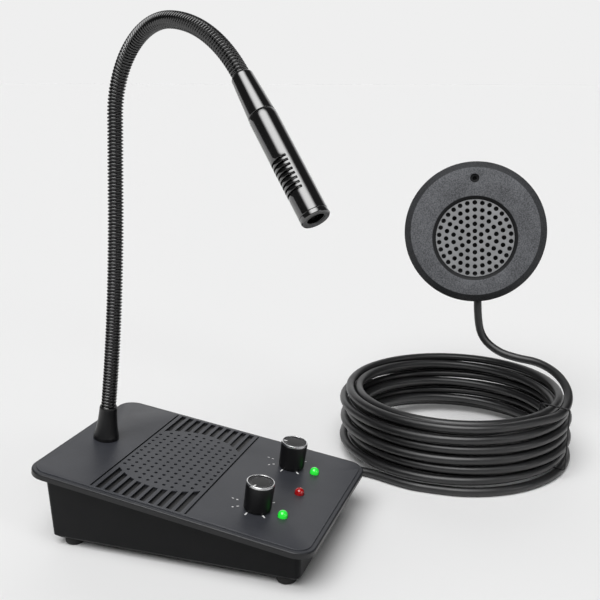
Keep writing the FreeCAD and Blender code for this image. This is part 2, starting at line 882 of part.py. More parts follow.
def socket(x, radius, depth, pin_radius=0):
    """A round socket that stands on the board, with a collar outside the wall, closed inside."""
    half = radius + socket_wall
    inner_face = rear_face(foot_height + case_edge_bevel) - case_wall - socket_clearance
    base = box(x - half, x + half, socket_face() - depth - socket_wall, inner_face,
               case_floor_top + main_board_rise + board_thickness, socket_height)
    body = fused([rear_rod(half, x, depth + socket_wall, stitch), base,
                  rear_rod(socket_collar_radius, x, 0, socket_collar_thickness)])
    body = body.cut(rear_rod(radius, x, depth, socket_collar_thickness + overrun))
    if pin_radius:
        body = body.fuse(rear_rod(pin_radius, x, depth + stitch, 0))
    return body


def switch_housing():
    half_high, half_wide = switch_half_height(), switch_half_width()
    x, y, z = switch_place_x, switch_face(), switch_place_z
    body = box(x - half_wide, x + half_wide, y - switch_depth, y + stitch, z - half_high, z + half_high)
    frame = box(x - half_wide - switch_bezel, x + half_wide + switch_bezel, y, y + switch_bezel_thickness,
                z - half_high - switch_bezel, z + half_high + switch_bezel)
    gap = box(x - half_wide + switch_wall, x + half_wide - switch_wall, y - switch_depth + switch_wall,
              y + overrun, z - half_high + switch_wall, z + half_high - switch_wall)
    pin_reach = rocker_width / 2 + rocker_pin_length + rocker_gap
    bore = Part.makeCylinder(rocker_pin_radius + pin_clearance, 2 * pin_reach, V(x - pin_reach, y, z), X)
    return fused([body, frame]).cut(gap).cut(bore)


def switch_rocker():
    """A rocker with a shallow valley across its face, at rest with its lower end pressed in."""
    x, y, z = switch_place_x, switch_face(), switch_place_z
    half = rocker_width / 2
    barrel = Part.makeCylinder(rocker_radius, rocker_width, V(x - half, y, z), X)
    rise = rocker_face_rise
    far = rise + rocker_radius * math.tan(math.radians(rocker_tilt))
    reach = rocker_radius + overrun
    outline = [V(x - half - overrun, y + rise, z), V(x - half - overrun, y + far, z + rocker_radius),
               V(x - half - overrun, y + reach, z + reach), V(x - half - overrun, y + reach, z - reach),
               V(x - half - overrun, y + far, z - rocker_radius)]
    valley = Part.Face(Part.makePolygon(outline + outline[:1])).extrude(V(rocker_width + 2 * overrun, 0, 0))
    length = half + rocker_pin_length
    pin = Part.makeCylinder(rocker_pin_radius, 2 * length, V(x - length, y, z), X)
    body = barrel.cut(valley)
    body.rotate(V(x, y, z), X, rocker_tilt)
    return body.fuse(pin)


# Gooseneck: a planar path of arcs, cut into rigid stretches with a short flexing length at each joint

heading = math.radians(neck_heading)
plate_normal = V(0, -math.sin(slope), math.cos(slope))
neck_forward = V(-math.sin(heading), -math.cos(heading), 0)
neck_forward = neck_forward - plate_normal * neck_forward.dot(plate_normal)
neck_forward.normalize()
neck_side = plate_normal.cross(neck_forward)
neck_base = plate_frame.multVec(V(0, neck_y, 0)) + plate_normal * boot_height
neck_stretches = [(lean_length, lean_turn), (straight_length, 0), (crook_length, crook_turn),
                  (nose_length, nose_turn)]
neck_length = sum(length for length, turn in neck_stretches)


def neck_at(distance):
    """Place, direction and outward normal of the neck's path at a distance from the boot's top."""
    place, angle, left = neck_base, 0, distance
    for index, (length, turn) in enumerate(neck_stretches):
        part = left if index == len(neck_stretches) - 1 else min(left, length)
        total = math.radians(turn)
        swept = total * part / length
        if abs(total) > 0:
            radius = length / total
            along = radius * (math.sin(angle + swept) - math.sin(angle))
            across = radius * (math.cos(angle) - math.cos(angle + swept))
        else:
            along, across = part * math.cos(angle), part * math.sin(angle)
        place = place + plate_normal * along + neck_forward * across
        angle += swept
        left -= part
        if left <= 0:
            break
    direction = plate_normal * math.cos(angle) + neck_forward * math.sin(angle)
    return place, direction, direction.cross(neck_side)


def neck_circle(distance, radius):
    """A circle across the neck, with a steady X axis."""
    place, direction, outward = neck_at(distance)
    circle = Part.Circle(place, direction, radius)
    circle.XAxis = neck_side
    return Part.Wire([circle.toShape()])


def neck_tube(start, end):
    """A ribbed stretch: each rib is a ruled loft through four circles."""
    ribs = max(1, round((end - start) / rib_pitch))
    pitch = (end - start) / ribs
    sections = []
    for rib in range(ribs):
        low = start + rib * pitch
        sections += [neck_circle(low, neck_root_radius),
                     neck_circle(low + rib_rise_share * pitch, neck_crest_radius),
                     neck_circle(low + rib_crest_share * pitch, neck_crest_radius),
                     neck_circle(low + rib_fall_share * pitch, neck_root_radius)]
    sections.append(neck_circle(end, neck_root_radius))
    tube = Part.makeLoft(sections, True, True)
    return tube.cut(smooth_tube(start - stitch, end + stitch, neck_bore_radius)), ribs


def smooth_tube(start, end, radius):
    """A plain round tube along the neck, a ruled loft with a circle at every rib."""
    count = max(1, round((end - start) / rib_pitch))
    step = (end - start) / count
    circles = [neck_circle(start + index * step, radius) for index in range(count + 1)]
    return Part.makeLoft(circles, True, True)


crook_start = lean_length + straight_length
crook_end = crook_start + crook_length
neck_flexes = [
    0,
    flex_length + lower_length,
    crook_start - flex_length + flex_end_before_crook,
    crook_end - flex_length + flex_end_past_crook,
]
rigid_names = ["neck_lower", "neck_upper", "neck_crook", "neck_nose"]
flex_names = ["neck_flex_base", "neck_flex_low", "neck_flex_middle", "neck_flex_top"]


def neck_nodes():
    """Every stretch of the neck, rigid ones with their length of microphone wire inside."""
    nodes, ribs = {}, 0
    ends = neck_flexes[1:] + [neck_length]
    for flex, rigid, start, end in zip(flex_names, rigid_names, neck_flexes, ends):
        split = start + flex_length
        for name, low, high in ((flex, start, split), (rigid, split, end)):
            tube, count = neck_tube(low, high)
            ribs += count
            solids = [tube] if name == flex else [tube, smooth_tube(low, high, wire_radius)]
            nodes[name] = Part.makeCompound(solids)
    print("neck ribs", ribs, "neck length", round(neck_length, 1))
    return nodes


def boot_place():
    turn = plate_frame.Rotation
    return FreeCAD.Placement(plate_frame.multVec(V(0, neck_y, 0)), turn)


def neck_boot():
    edge = boot_top_edge
    bore = ferrule_radius + fit_clearance
    body = turned([(ferrule_flange_radius + fit_clearance, 0), (boot_base_radius, 0),
                   (boot_base_radius, boot_base_height - edge), (boot_base_radius - edge, boot_base_height),
                   (boot_shoulder_radius, boot_shoulder_height), (boot_top_radius, boot_height - edge),
                   (boot_top_radius - edge, boot_height), (bore, boot_height),
                   (bore, ferrule_flange_height + fit_clearance),
                   (ferrule_flange_radius + fit_clearance, ferrule_flange_height + fit_clearance)])
    return moved(body, boot_place())


def neck_ferrule():
    flange = rod(ferrule_flange_radius, 0, ferrule_flange_height)
    body = fused([rod(thread_radius, -thread_length, stitch), flange, rod(ferrule_radius, 0, boot_height)])
    body = body.cut(rod(neck_bore_radius, -thread_length - overrun, boot_height + overrun))
    return moved(body, boot_place())


def neck_nut():
    across = neck_nut_flats / math.sqrt(3)
    points = [V(across * math.cos(math.radians(60 * i)), across * math.sin(math.radians(60 * i)), -cover_wall)
              for i in range(6)]
    nut = Part.Face(Part.makePolygon(points + points[:1])).extrude(V(0, 0, -neck_nut_thickness))
    nut = nut.cut(rod(thread_radius + thread_clearance, -cover_wall - neck_nut_thickness - overrun, overrun))
    return moved(nut, boot_place())


# Microphone head, drawn along +Z from the end of the neck

def head_place():
    place, direction, outward = neck_at(neck_length)
    turn = FreeCAD.Rotation(neck_side, outward, direction, "ZXY")
    return FreeCAD.Placement(place, turn)


def in_head(shape):
    return moved(shape, head_place())


def mic_adapter():
    inner = barrel_radius - barrel_wall - fit_clearance
    body = turned([(neck_bore_radius, 0), (adapter_start_radius - adapter_edge, 0),
                   (adapter_start_radius, adapter_edge), (adapter_end_radius, adapter_length - adapter_edge),
                   (adapter_end_radius, adapter_length), (inner, adapter_length),
                   (inner, adapter_length + spigot_length),
                   (neck_bore_radius, adapter_length + spigot_length)])
    return in_head(body)


def mic_barrel():
    start, end = adapter_length + seam_gap, head_length - end_ring_length
    body = turned([(barrel_radius - barrel_wall, start), (adapter_end_radius, start),
                   (barrel_radius, start + adapter_edge), (barrel_radius, end),
                   (barrel_radius - barrel_wall, end)])
    cutters = []
    reach = barrel_radius + overrun
    half = math.radians(slot_span / 2)
    for column in range(slot_columns):
        turn = FreeCAD.Rotation(Z, 360 * column / slot_columns)
        for index in range(slot_count):
            z = slot_start + index * slot_pitch
            points = [V(0, 0, z), V(reach, -reach * math.tan(half), z), V(reach, reach * math.tan(half), z)]
            wedge = Part.Face(Part.makePolygon(points + points[:1])).extrude(V(0, 0, slot_width))
            cutters.append(moved(wedge, FreeCAD.Placement(V(0, 0, 0), turn)))
    return in_head(drilled(body, cutters))


def mic_end_ring():
    start, end = head_length - end_ring_length, head_length
    inner = barrel_radius - barrel_wall - fit_clearance
    body = turned([(end_ring_opening, start - end_ring_spigot), (inner, start - end_ring_spigot),
                   (inner, start), (barrel_radius, start), (barrel_radius, end - end_ring_step),
                   (barrel_radius - end_ring_step, end), (end_ring_opening + end_ring_step, end),
                   (end_ring_opening, end - end_ring_step)])
    return in_head(body)


def mesh_level():
    return head_length - end_ring_length - end_ring_spigot


def mic_mesh():
    return in_head(rod(barrel_radius - barrel_wall - fit_clearance, mesh_level() - mesh_thickness, mesh_level()))


def mic_capsule():
    top = mesh_level() - mesh_thickness
    return in_head(rod(capsule_radius, top - capsule_length, top))


def mic_capsule_holder():
    top = mesh_level() - mesh_thickness
    return in_head(ring(holder_radius, capsule_radius + thread_clearance, top - capsule_length, top))


# Window unit, drawn face up from its back at zero, +Y towards its top

def unit_place():
    tilt, turn = math.radians(unit_tilt), math.radians(unit_heading)
    facing = V(math.cos(tilt) * math.cos(turn), math.cos(tilt) * math.sin(turn), math.sin(tilt))
    up = V(-math.sin(tilt) * math.cos(turn), -math.sin(tilt) * math.sin(turn), math.cos(tilt))
    roll = FreeCAD.Rotation(facing, unit_roll)
    up = roll.multVec(up)
    right = up.cross(facing)
    center = V(unit_center_x, unit_center_y, unit_center_z) - facing * (unit_depth / 2)
    return FreeCAD.Placement(center, FreeCAD.Rotation(right, up, facing, "ZXY"))


def in_unit(shape):
    return moved(shape, unit_place())


def unit_screw_places():
    places = []
    for index in range(unit_screw_count):
        angle = math.radians(unit_screw_turn + 360 * index / unit_screw_count)
        places.append((unit_screw_place * math.cos(angle), unit_screw_place * math.sin(angle)))
    return places


def exit_rod(radius, inner, outer):
    """A rod along the way out of the cable, at the unit's lower side."""
    return Part.makeCylinder(radius, outer - inner, V(cable_exit_offset, -outer, unit_back_depth), Y)


def exit_cutter():
    return exit_rod(grommet_waist + fit_clearance, unit_radius / 2, unit_radius + overrun)


def exit_drop():
    """How far below the unit's centre the flat end of the grommet lies, just inside the round wall."""
    return math.sqrt(unit_radius ** 2 - (cable_exit_offset + grommet_waist) ** 2)


def window_housing():
    """The rear shell, a shallow dish that is open towards the window's far side."""
    body = turned([(0, 0), (unit_back_radius, 0), (unit_radius, unit_edge), (unit_radius, unit_back_depth),
                   (unit_radius - unit_wall, unit_back_depth), (unit_radius - unit_wall, unit_wall),
                   (0, unit_wall)])
    bosses = [rod(unit_boss_radius, unit_wall - stitch, unit_back_depth, x, y)
              for x, y in unit_screw_places()]
    bosses += [rod(post_radius, unit_wall - stitch, unit_wall + unit_board_rise, x, unit_board_place)
               for x in (-unit_post_place, unit_post_place)]
    cutters = [rod(unit_screw_radius + fit_clearance, -overrun, unit_back_depth + overrun, x, y)
               for x, y in unit_screw_places()]
    cutters += [rod(unit_screw_head_radius + fit_clearance, -overrun, unit_screw_head_depth, x, y)
                for x, y in unit_screw_places()]
    cutters.append(exit_cutter())
    return in_unit(drilled(fused([body] + bosses), cutters))


def window_bezel():
    """The front shell with its bevelled rim, the pocket of the grille and the microphone hole."""
    low, high = unit_back_depth, unit_depth
    body = turned([(unit_radius - unit_wall, low), (unit_radius, low), (unit_radius, high - unit_bevel_depth),
                   (unit_face_radius, high), (0, high), (0, high - 2 * unit_wall),
                   (unit_radius - unit_wall, high - 2 * unit_wall)])
    bosses = [rod(unit_boss_radius, low, high - unit_wall, x, y) for x, y in unit_screw_places()]
    body = fused([body] + bosses)
    slope_out = turned([(0, high + stitch), (pocket_radius + stitch, high + stitch),
                        (grille_radius + fit_clearance, high - pocket_depth),
                        (grille_radius + fit_clearance, high - pocket_depth - grille_thickness),
                        (0, high - pocket_depth - grille_thickness)])
    throat = rod(grille_radius - grille_seat, low, high)
    down = FreeCAD.Placement(V(0, -grille_drop, 0), FreeCAD.Rotation())
    cutters = [moved(slope_out, down), moved(throat, down),
               rod(mic_hole_radius, low, high + overrun, 0, mic_hole_place),
               rod(mic_pocket_radius, high - mic_pocket_depth, high + overrun, 0, mic_hole_place)]
    bore = unit_screw_radius + thread_clearance
    cutters += [rod(bore, low - overrun, high - 2 * unit_wall, x, y) for x, y in unit_screw_places()]
    cutters.append(exit_cutter())
    return in_unit(drilled(body, cutters))


def window_grille():
    """The metal grille: a flat disc with a centre hole and five rings of six, twelve and so on."""
    high = unit_depth - pocket_depth
    disc = rod(grille_radius, high - grille_thickness, high, 0, -grille_drop)
    cutters = [rod(grille_hole_radius, high - overrun, high + overrun, 0, -grille_drop)]
    for ring_index in range(1, grille_rings + 1):
        count = 6 * ring_index
        for index in range(count):
            angle = math.pi / 2 + 2 * math.pi * index / count
            x = ring_index * grille_ring_pitch * math.cos(angle)
            y = ring_index * grille_ring_pitch * math.sin(angle) - grille_drop
            cutters.append(rod(grille_hole_radius, high - overrun, high + overrun, x, y))
    return in_unit(drilled(disc, cutters))


def unit_speaker_seat():
    return FreeCAD.Placement(V(0, -grille_drop, unit_depth - 2 * unit_wall), FreeCAD.Rotation())


def window_speaker_basket():
    flange = grille_radius + grille_seat
    body = speaker_basket(flange, unit_speaker_depth, unit_magnet_radius, unit_cone_radius, unit_cone_wall,
                          speaker_window_count)
    return in_unit(moved(body, unit_speaker_seat()))


def window_speaker_magnet():
    top = -unit_speaker_depth
    return in_unit(moved(rod(unit_magnet_radius, top - unit_magnet_height, top), unit_speaker_seat()))


def window_speaker_cone():
    cone = speaker_cone(unit_cone_radius, unit_cone_depth, unit_cone_wall, unit_coil_radius)
    return in_unit(moved(cone, unit_speaker_seat()))


def window_mic_capsule():
    top = unit_depth - 2 * unit_wall
    return in_unit(rod(unit_capsule_radius, top - unit_capsule_height, top, 0, mic_hole_place))


def window_board():
    """A small board that rests on two posts of the rear shell, above the loudspeaker."""
    low = unit_wall + unit_board_rise
    wide, long = unit_board_width / 2, unit_board_length / 2
    return in_unit(box(-wide, wide, unit_board_place - long, unit_board_place + long, low,
                       low + board_thickness))


def window_screws():
    pattern = screw(unit_screw_radius, unit_screw_length, unit_screw_head_radius, unit_screw_head_depth,
                    screw_slot_width)
    return in_unit(Part.makeCompound([
        moved(pattern, FreeCAD.Placement(V(x, y, unit_screw_head_depth), FreeCAD.Rotation()))
        for x, y in unit_screw_places()]))


def adhesive_pad():
    pad = rod(pad_radius, -pad_thickness, 0)
    holes = [rod(unit_screw_head_radius + fit_clearance, -pad_thickness - overrun, overrun, x, y)
             for x, y in unit_screw_places()]
    return in_unit(drilled(pad, holes))


def window_grommet():
    """A rubber grommet in the lower wall, with a shoulder inside and a flat end for the cable."""
    reach = cable_exit_offset + grommet_radius
    inner_face = math.sqrt((unit_radius - unit_wall) ** 2 - reach ** 2) - fit_clearance
    end = inner_face - grommet_length / 2
    waist = exit_rod(grommet_waist, end, exit_drop())
    return in_unit(fused([waist, exit_rod(grommet_radius, end, inner_face)]))


# Cable

cable_radius = cable_diameter / 2


def tube_along(path, radius):
    """A round tube along a wire of lines and tangent arcs."""
    first = path.OrderedEdges[0]
    start = first.valueAt(first.FirstParameter)
    along = first.tangentAt(first.FirstParameter)
    if (start - path.OrderedVertexes[0].Point).Length > stitch:
        start = first.valueAt(first.LastParameter)
        along = first.tangentAt(first.LastParameter) * -1
    profile = Part.Wire([Part.Circle(start, along, radius).toShape()])
    return path.makePipeShell([profile], True, False)


def route_tube(points, name):
    """Straight runs joined by tangent arcs, each as large as its two runs allow."""
    edges, place, radii = [], points[0], []
    for before, corner, after in zip(points, points[1:], points[2:]):
        back, ahead = before - corner, after - corner
        half_turn = (math.pi - back.getAngle(ahead)) / 2
        cut = run_share * min(back.Length, ahead.Length)
        radius = cut / math.tan(half_turn)
        back.normalize()
        ahead.normalize()
        start, end = corner + back * cut, corner + ahead * cut
        bisector = back + ahead
        bisector.normalize()
        middle = corner + bisector * (radius / math.cos(half_turn) - radius)
        edges.append(Part.makeLine(place, start))
        edges.append(Part.Arc(start, middle, end).toShape())
        place = end
        radii.append(round(radius, 1))
    edges.append(Part.makeLine(place, points[-1]))
    length = sum(edge.Length for edge in edges)
    tube = tube_along(Part.Wire(edges), cable_radius)
    ideal = math.pi * cable_radius ** 2 * length
    print(name, "radii", radii, "length", round(length, 1), "volume ratio", round(tube.Volume / ideal, 4))
    return tube


def coil_place(turns):
    """A point of the coil's centreline after so many clockwise turns: it spirals in for one and a
    half turns, climbs a layer in half a turn, spirals out in the next layer, and so on down."""
    period = spiral_turns + climb_turns
    layer = min(int(turns // period), coil_layers - 1)
    within = turns - layer * period
    travelled = min(within, spiral_turns) * coil_pitch
    if layer == coil_layers - 1:
        travelled = 0
    inward = travelled if layer % 2 == 0 else spiral_turns * coil_pitch - travelled
    drop = layer + max(0, within - spiral_turns) / climb_turns
    if layer == coil_layers - 1:
        drop = layer
    height = cable_radius + (coil_layers - 1 - drop) * coil_pitch
    angle = math.radians(coil_reference_angle) - 2 * math.pi * turns
    radius = coil_radius - inward
    return V(coil_center_x + radius * math.cos(angle), coil_center_y + radius * math.sin(angle), height)


def coil_tangent(turns):
    small = climb_turns / 16
    low, high = max(turns - small, coil_start_turns), min(turns + small, coil_end_turns)
    along = coil_place(high) - coil_place(low)
    if turns in (coil_start_turns, coil_end_turns):
        angle = math.radians(coil_reference_angle) - 2 * math.pi * turns
        along = V(math.sin(angle), -math.cos(angle), 0)
    along.normalize()
    return along


def biarc(start, start_along, end, end_along):
    """Two tangent arcs that join two points with given directions."""
    chord = end - start
    both = start_along + end_along
    a = 2 * (1 - start_along.dot(end_along))
    b = 2 * chord.dot(both)
    c = -chord.dot(chord)
    reach = (-b + math.sqrt(b * b - 4 * a * c)) / (2 * a)
    joint = (start + start_along * reach + end - end_along * reach) * 0.5
    joint_along = (end - end_along * reach) - (start + start_along * reach)
    joint_along.normalize()
    return [arc_from(start, start_along, joint), arc_from(joint, joint_along, end)]


def arc_from(start, along, end):
    """The arc that leaves start along a direction and ends at a point."""
    chord = end - start
    length = chord.Length
    chord.normalize()
    side = along - chord * along.dot(chord)
    side.normalize()
    half = chord.getAngle(along)
    middle = (start + end) * 0.5 + side * (length / 2 * math.tan(half / 2))
    return Part.Arc(start, middle, end).toShape()


def coil_ends():
    """The outer faces of the coil's two straight ends."""
    first = coil_place(coil_start_turns) - coil_tangent(coil_start_turns) * cable_diameter
    last = coil_place(coil_end_turns) + coil_tangent(coil_end_turns) * cable_diameter
    return first, last


def quarter_turns():
    count = math.ceil((coil_end_turns - coil_start_turns) * 4)
    step = (coil_end_turns - coil_start_turns) / count
    return [coil_start_turns + index * step for index in range(count)] + [coil_end_turns]


def cable_coil():
    stops = quarter_turns()
    first, last = coil_ends()
    edges = [Part.makeLine(first, coil_place(stops[0]))]
    for low, high in zip(stops, stops[1:]):
        edges += biarc(coil_place(low), coil_tangent(low), coil_place(high), coil_tangent(high))
    edges.append(Part.makeLine(coil_place(stops[-1]), last))
    length = sum(edge.Length for edge in edges)
    tube = tube_along(Part.Wire(edges), cable_radius)
    ideal = math.pi * cable_radius ** 2 * length
    print("coil length", round(length, 1), "turns", round(coil_end_turns - coil_start_turns, 2),
          "volume ratio", round(tube.Volume / ideal, 4), "least gap", round(coil_gap(edges), 2))
    return tube


def coil_gap(edges):
    """The least gap of the coil to itself, measured on points of its centreline."""
    points, travelled, marks = [], 0, []
    for edge in edges:
        steps = max(2, round(edge.Length / cable_diameter))
        for point in edge.discretize(steps + 1)[:-1]:
            points.append(point)
        marks.append(travelled)
        travelled += edge.Length
    loop = 2 * math.pi * (coil_radius - spiral_turns * coil_pitch)
    skip = round(len(points) * loop / 2 / travelled)
    least = coil_radius
    for index, point in enumerate(points):
        for other in points[index + skip:]:
            across = (point - other).Length
            least = min(least, across)
    return least - cable_diameter


def unit_exit():
    """The cable's place and direction at the window unit's lower edge."""
    frame = unit_place()
    return frame.multVec(V(cable_exit_offset, -exit_drop(), unit_back_depth)), frame.Rotation.multVec(Y) * -1


def window_cable():
    start, along = unit_exit()
    first, last = coil_ends()
    end_along = coil_tangent(coil_start_turns)
    points = [start, start + along * cable_lead] + window_route + [first - end_along * cable_lead, first]
    return route_tube(points, "window cable")


def plug_rear():
    return socket_face() + socket_collar_thickness + plug_body_length + plug_boot_length


def console_cable():
    first, last = coil_ends()
    start_along = coil_tangent(coil_end_turns)
    end = V(line_place_x, plug_rear(), socket_height)
    points = [last, last + start_along * console_lead] + console_route + [end + Y * plug_lead, end]
    return route_tube(points, "console cable")


def cable_plug():
    """The plug in its socket: tip, grip and a tapered strain relief round the cable's end."""
    face = socket_collar_thickness
    grip = face + plug_body_length
    end = grip + plug_boot_length
    outline = [(0, -plug_tip_length), (plug_tip_radius - plug_edge, -plug_tip_length),
               (plug_tip_radius, -plug_tip_length + plug_edge), (plug_tip_radius, face),
               (plug_body_radius - plug_edge, face), (plug_body_radius, face + plug_edge),
               (plug_body_radius, grip - plug_edge), (plug_body_radius - plug_edge, grip),
               (plug_boot_radius, grip), (cable_radius + plug_edge, end), (0, end)]
    body = turned(outline)
    turn = FreeCAD.Rotation(X, -90)
    return moved(body, FreeCAD.Placement(V(line_place_x, socket_face(), socket_height), turn))


def cable_tie():
    """A thin wire loop round the bundle, which passes between its two lowest layers."""
    inner = coil_radius - spiral_turns * coil_pitch - cable_radius - tie_clearance - tie_wire_radius
    outer = coil_radius + tie_outer_allowance + cable_radius + tie_clearance - tie_wire_radius
    low = cable_radius + coil_pitch / 2
    high = cable_diameter + (coil_layers - 1) * coil_pitch + 4 * tie_clearance + tie_wire_radius
    wire = rounded_wire(outer - inner, high - low, tie_corner_radius, 0)
    profile = Part.Wire([Part.Circle(V((outer - inner) / 2, 0, 0), Y, tie_wire_radius).toShape()])
    loop = wire.makePipeShell([profile], True, False)
    turn = FreeCAD.Rotation(Z, tie_place_angle).multiply(FreeCAD.Rotation(X, 90))
    angle = math.radians(tie_place_angle)
    middle = (inner + outer) / 2
    place = V(coil_center_x + middle * math.cos(angle), coil_center_y + middle * math.sin(angle),
              (low + high) / 2)
    return moved(loop, FreeCAD.Placement(place, turn))


def build():
    left, right = control_places()
    led_left, led_middle, led_right = led_places()
    nodes = {
        "top_cover": top_cover(), "bottom_case": bottom_case(), "rubber_feet": rubber_feet(),
        "case_screws": case_screws(), "small_screws": small_screws(),
        "console_speaker_basket": console_speaker_basket(), "console_speaker_magnet": console_speaker_magnet(),
        "console_speaker_cone": console_speaker_cone(), "main_board": main_board(),
        "board_components": board_components(), "control_board": control_board(),
        "left_pot_body": pot_body(*left), "right_pot_body": pot_body(*right), "pot_nuts": pot_nuts(),
        "left_pot_shaft": pot_shaft(*left), "right_pot_shaft": pot_shaft(*right),
        "left_knob": knob(*left, left_pointer_angle), "right_knob": knob(*right, right_pointer_angle),
        "left_knob_rim": knob_rim(*left), "right_knob_rim": knob_rim(*right),
        "green_leds": green_leds(), "red_led": led(*led_middle),
        "record_jack": socket(jack_place_x, jack_radius, jack_depth),
        "power_socket": socket(power_place_x, power_radius, power_depth, power_pin_radius),
        "window_line_socket": socket(line_place_x, line_radius, line_depth),
        "switch_housing": switch_housing(), "switch_rocker": switch_rocker(),
        "neck_boot": neck_boot(), "neck_ferrule": neck_ferrule(), "neck_nut": neck_nut(),
        "mic_adapter": mic_adapter(), "mic_barrel": mic_barrel(), "mic_end_ring": mic_end_ring(),
        "mic_mesh": mic_mesh(), "mic_capsule": mic_capsule(), "mic_capsule_holder": mic_capsule_holder(),
        "window_housing": window_housing(), "window_bezel": window_bezel(), "window_grille": window_grille(),
        "window_speaker_basket": window_speaker_basket(), "window_speaker_magnet": window_speaker_magnet(),
        "window_speaker_cone": window_speaker_cone(), "window_mic_capsule": window_mic_capsule(),
        "window_board": window_board(),
        "window_screws": window_screws(), "adhesive_pad": adhesive_pad(), "window_grommet": window_grommet(),
        "window_cable": window_cable(), "cable_coil": cable_coil(), "console_cable": console_cable(),
        "cable_plug": cable_plug(), "cable_tie": cable_tie(),
    }
    nodes.update(neck_nodes())
    return nodes


def save(nodes):
    os.makedirs("parts", exist_ok=True)
    for name, shape in nodes.items():
        if not shape.isValid():
            print("not valid", name)
        shape.exportStep(os.path.join("parts", name + ".step"))
    print("nodes", len(nodes))


save(build())
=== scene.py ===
"""A teller window intercom, dressed for its pictures: console, gooseneck microphone, window unit, cable."""

import json
import math

import bmesh
import bpy
import numpy as np
from bpy.props import FloatProperty, FloatVectorProperty, IntProperty, PointerProperty
from mathutils import Matrix, Vector


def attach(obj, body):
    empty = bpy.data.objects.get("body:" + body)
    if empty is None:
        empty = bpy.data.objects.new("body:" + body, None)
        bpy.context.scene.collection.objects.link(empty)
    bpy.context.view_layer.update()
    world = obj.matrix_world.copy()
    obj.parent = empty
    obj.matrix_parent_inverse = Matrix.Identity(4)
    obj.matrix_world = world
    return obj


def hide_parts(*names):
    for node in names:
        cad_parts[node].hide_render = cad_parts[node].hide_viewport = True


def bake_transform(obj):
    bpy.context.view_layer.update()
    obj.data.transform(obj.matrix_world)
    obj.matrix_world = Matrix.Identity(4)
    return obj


bl_info = {
    "name": "Teller Window Intercom",
    "version": (1, 0, 0),
    "blender": (4, 5, 0),
    "location": "3D View > Sidebar > Intercom",
    "description": "Builds the visible pieces and finishes of a teller window intercom",
    "category": "Object",
}

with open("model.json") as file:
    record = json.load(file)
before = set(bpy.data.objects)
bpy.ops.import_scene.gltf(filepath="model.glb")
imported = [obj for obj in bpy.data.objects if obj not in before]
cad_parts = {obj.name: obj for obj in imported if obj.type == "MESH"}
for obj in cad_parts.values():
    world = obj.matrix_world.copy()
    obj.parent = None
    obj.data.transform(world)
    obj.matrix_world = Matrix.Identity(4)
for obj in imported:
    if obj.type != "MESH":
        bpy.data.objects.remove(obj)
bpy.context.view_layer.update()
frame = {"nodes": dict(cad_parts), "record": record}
MM = 0.001

# Places that the console, its gooseneck and the window unit share with the solids, in millimetres

CONSOLE_LENGTH, REAR_HEIGHT, FRONT_HEIGHT = 151.0, 45.0, 23.5
SLOPE = math.atan2(REAR_HEIGHT - FRONT_HEIGHT, CONSOLE_LENGTH)
HALF_PLATE = CONSOLE_LENGTH / math.cos(SLOPE) / 2
PLATE_X = np.array([1.0, 0.0, 0.0])
PLATE_Y = np.array([0.0, math.cos(SLOPE), math.sin(SLOPE)])
PLATE_N = np.array([0.0, -math.sin(SLOPE), math.cos(SLOPE)])
PLATE_MIDDLE = np.array([0.0, 0.0, (REAR_HEIGHT + FRONT_HEIGHT) / 2])


def plate_place(x, from_rear, level=0.0):
    """Origin and axes of a piece on the sloping plate, at x and at a distance down from its rear edge."""
    origin = PLATE_MIDDLE + PLATE_X * x + PLATE_Y * (HALF_PLATE - from_rear) + PLATE_N * level
    return origin, PLATE_X, PLATE_Y, PLATE_N


def carried(local, place):
    """World point = origin + x X + y Y + z N, turned from millimetres into metres."""
    origin, x_axis, y_axis, normal = place
    return (origin + local[..., 0:1] * x_axis + local[..., 1:2] * y_axis + local[..., 2:3] * normal) * MM


# Surfaces

def rounded_outline(points, radius, steps=4):
    """Every corner of a polyline becomes the curve (1-t)^2 a + 2t(1-t) corner + t^2 b, where a and b lie on
    its two sides a radius away from it, or as far as the shorter side allows."""
    points = np.asarray(points, float)
    corner = points[1:-1]
    back, ahead = points[:-2] - corner, points[2:] - corner
    back_length = np.linalg.norm(back, axis=1, keepdims=True)
    ahead_length = np.linalg.norm(ahead, axis=1, keepdims=True)
    radius = np.broadcast_to(np.asarray(radius, float), (len(corner),))[:, None]
    cut = np.minimum(radius, 0.45 * np.minimum(back_length, ahead_length))
    a = (corner + back / back_length * cut)[:, None]
    b = (corner + ahead / ahead_length * cut)[:, None]
    t = np.linspace(0, 1, steps + 1)[None, :, None]
    curve = (1 - t) ** 2 * a + 2 * t * (1 - t) * corner[:, None] + t ** 2 * b
    return np.vstack([points[:1], curve.reshape(-1, 2), points[-1:]])


def turned(outline, place, around=72):
    """Point = origin + r cos(a) X + r sin(a) Y + z N for each outline point (r, z) and each angle a."""
    r, z = outline[:, 0:1], outline[:, 1:2]
    a = np.linspace(0, 2 * math.pi, around, endpoint=False)[None]
    local = np.stack([r * np.cos(a), r * np.sin(a), z + 0 * a], -1)
    return carried(local, place)


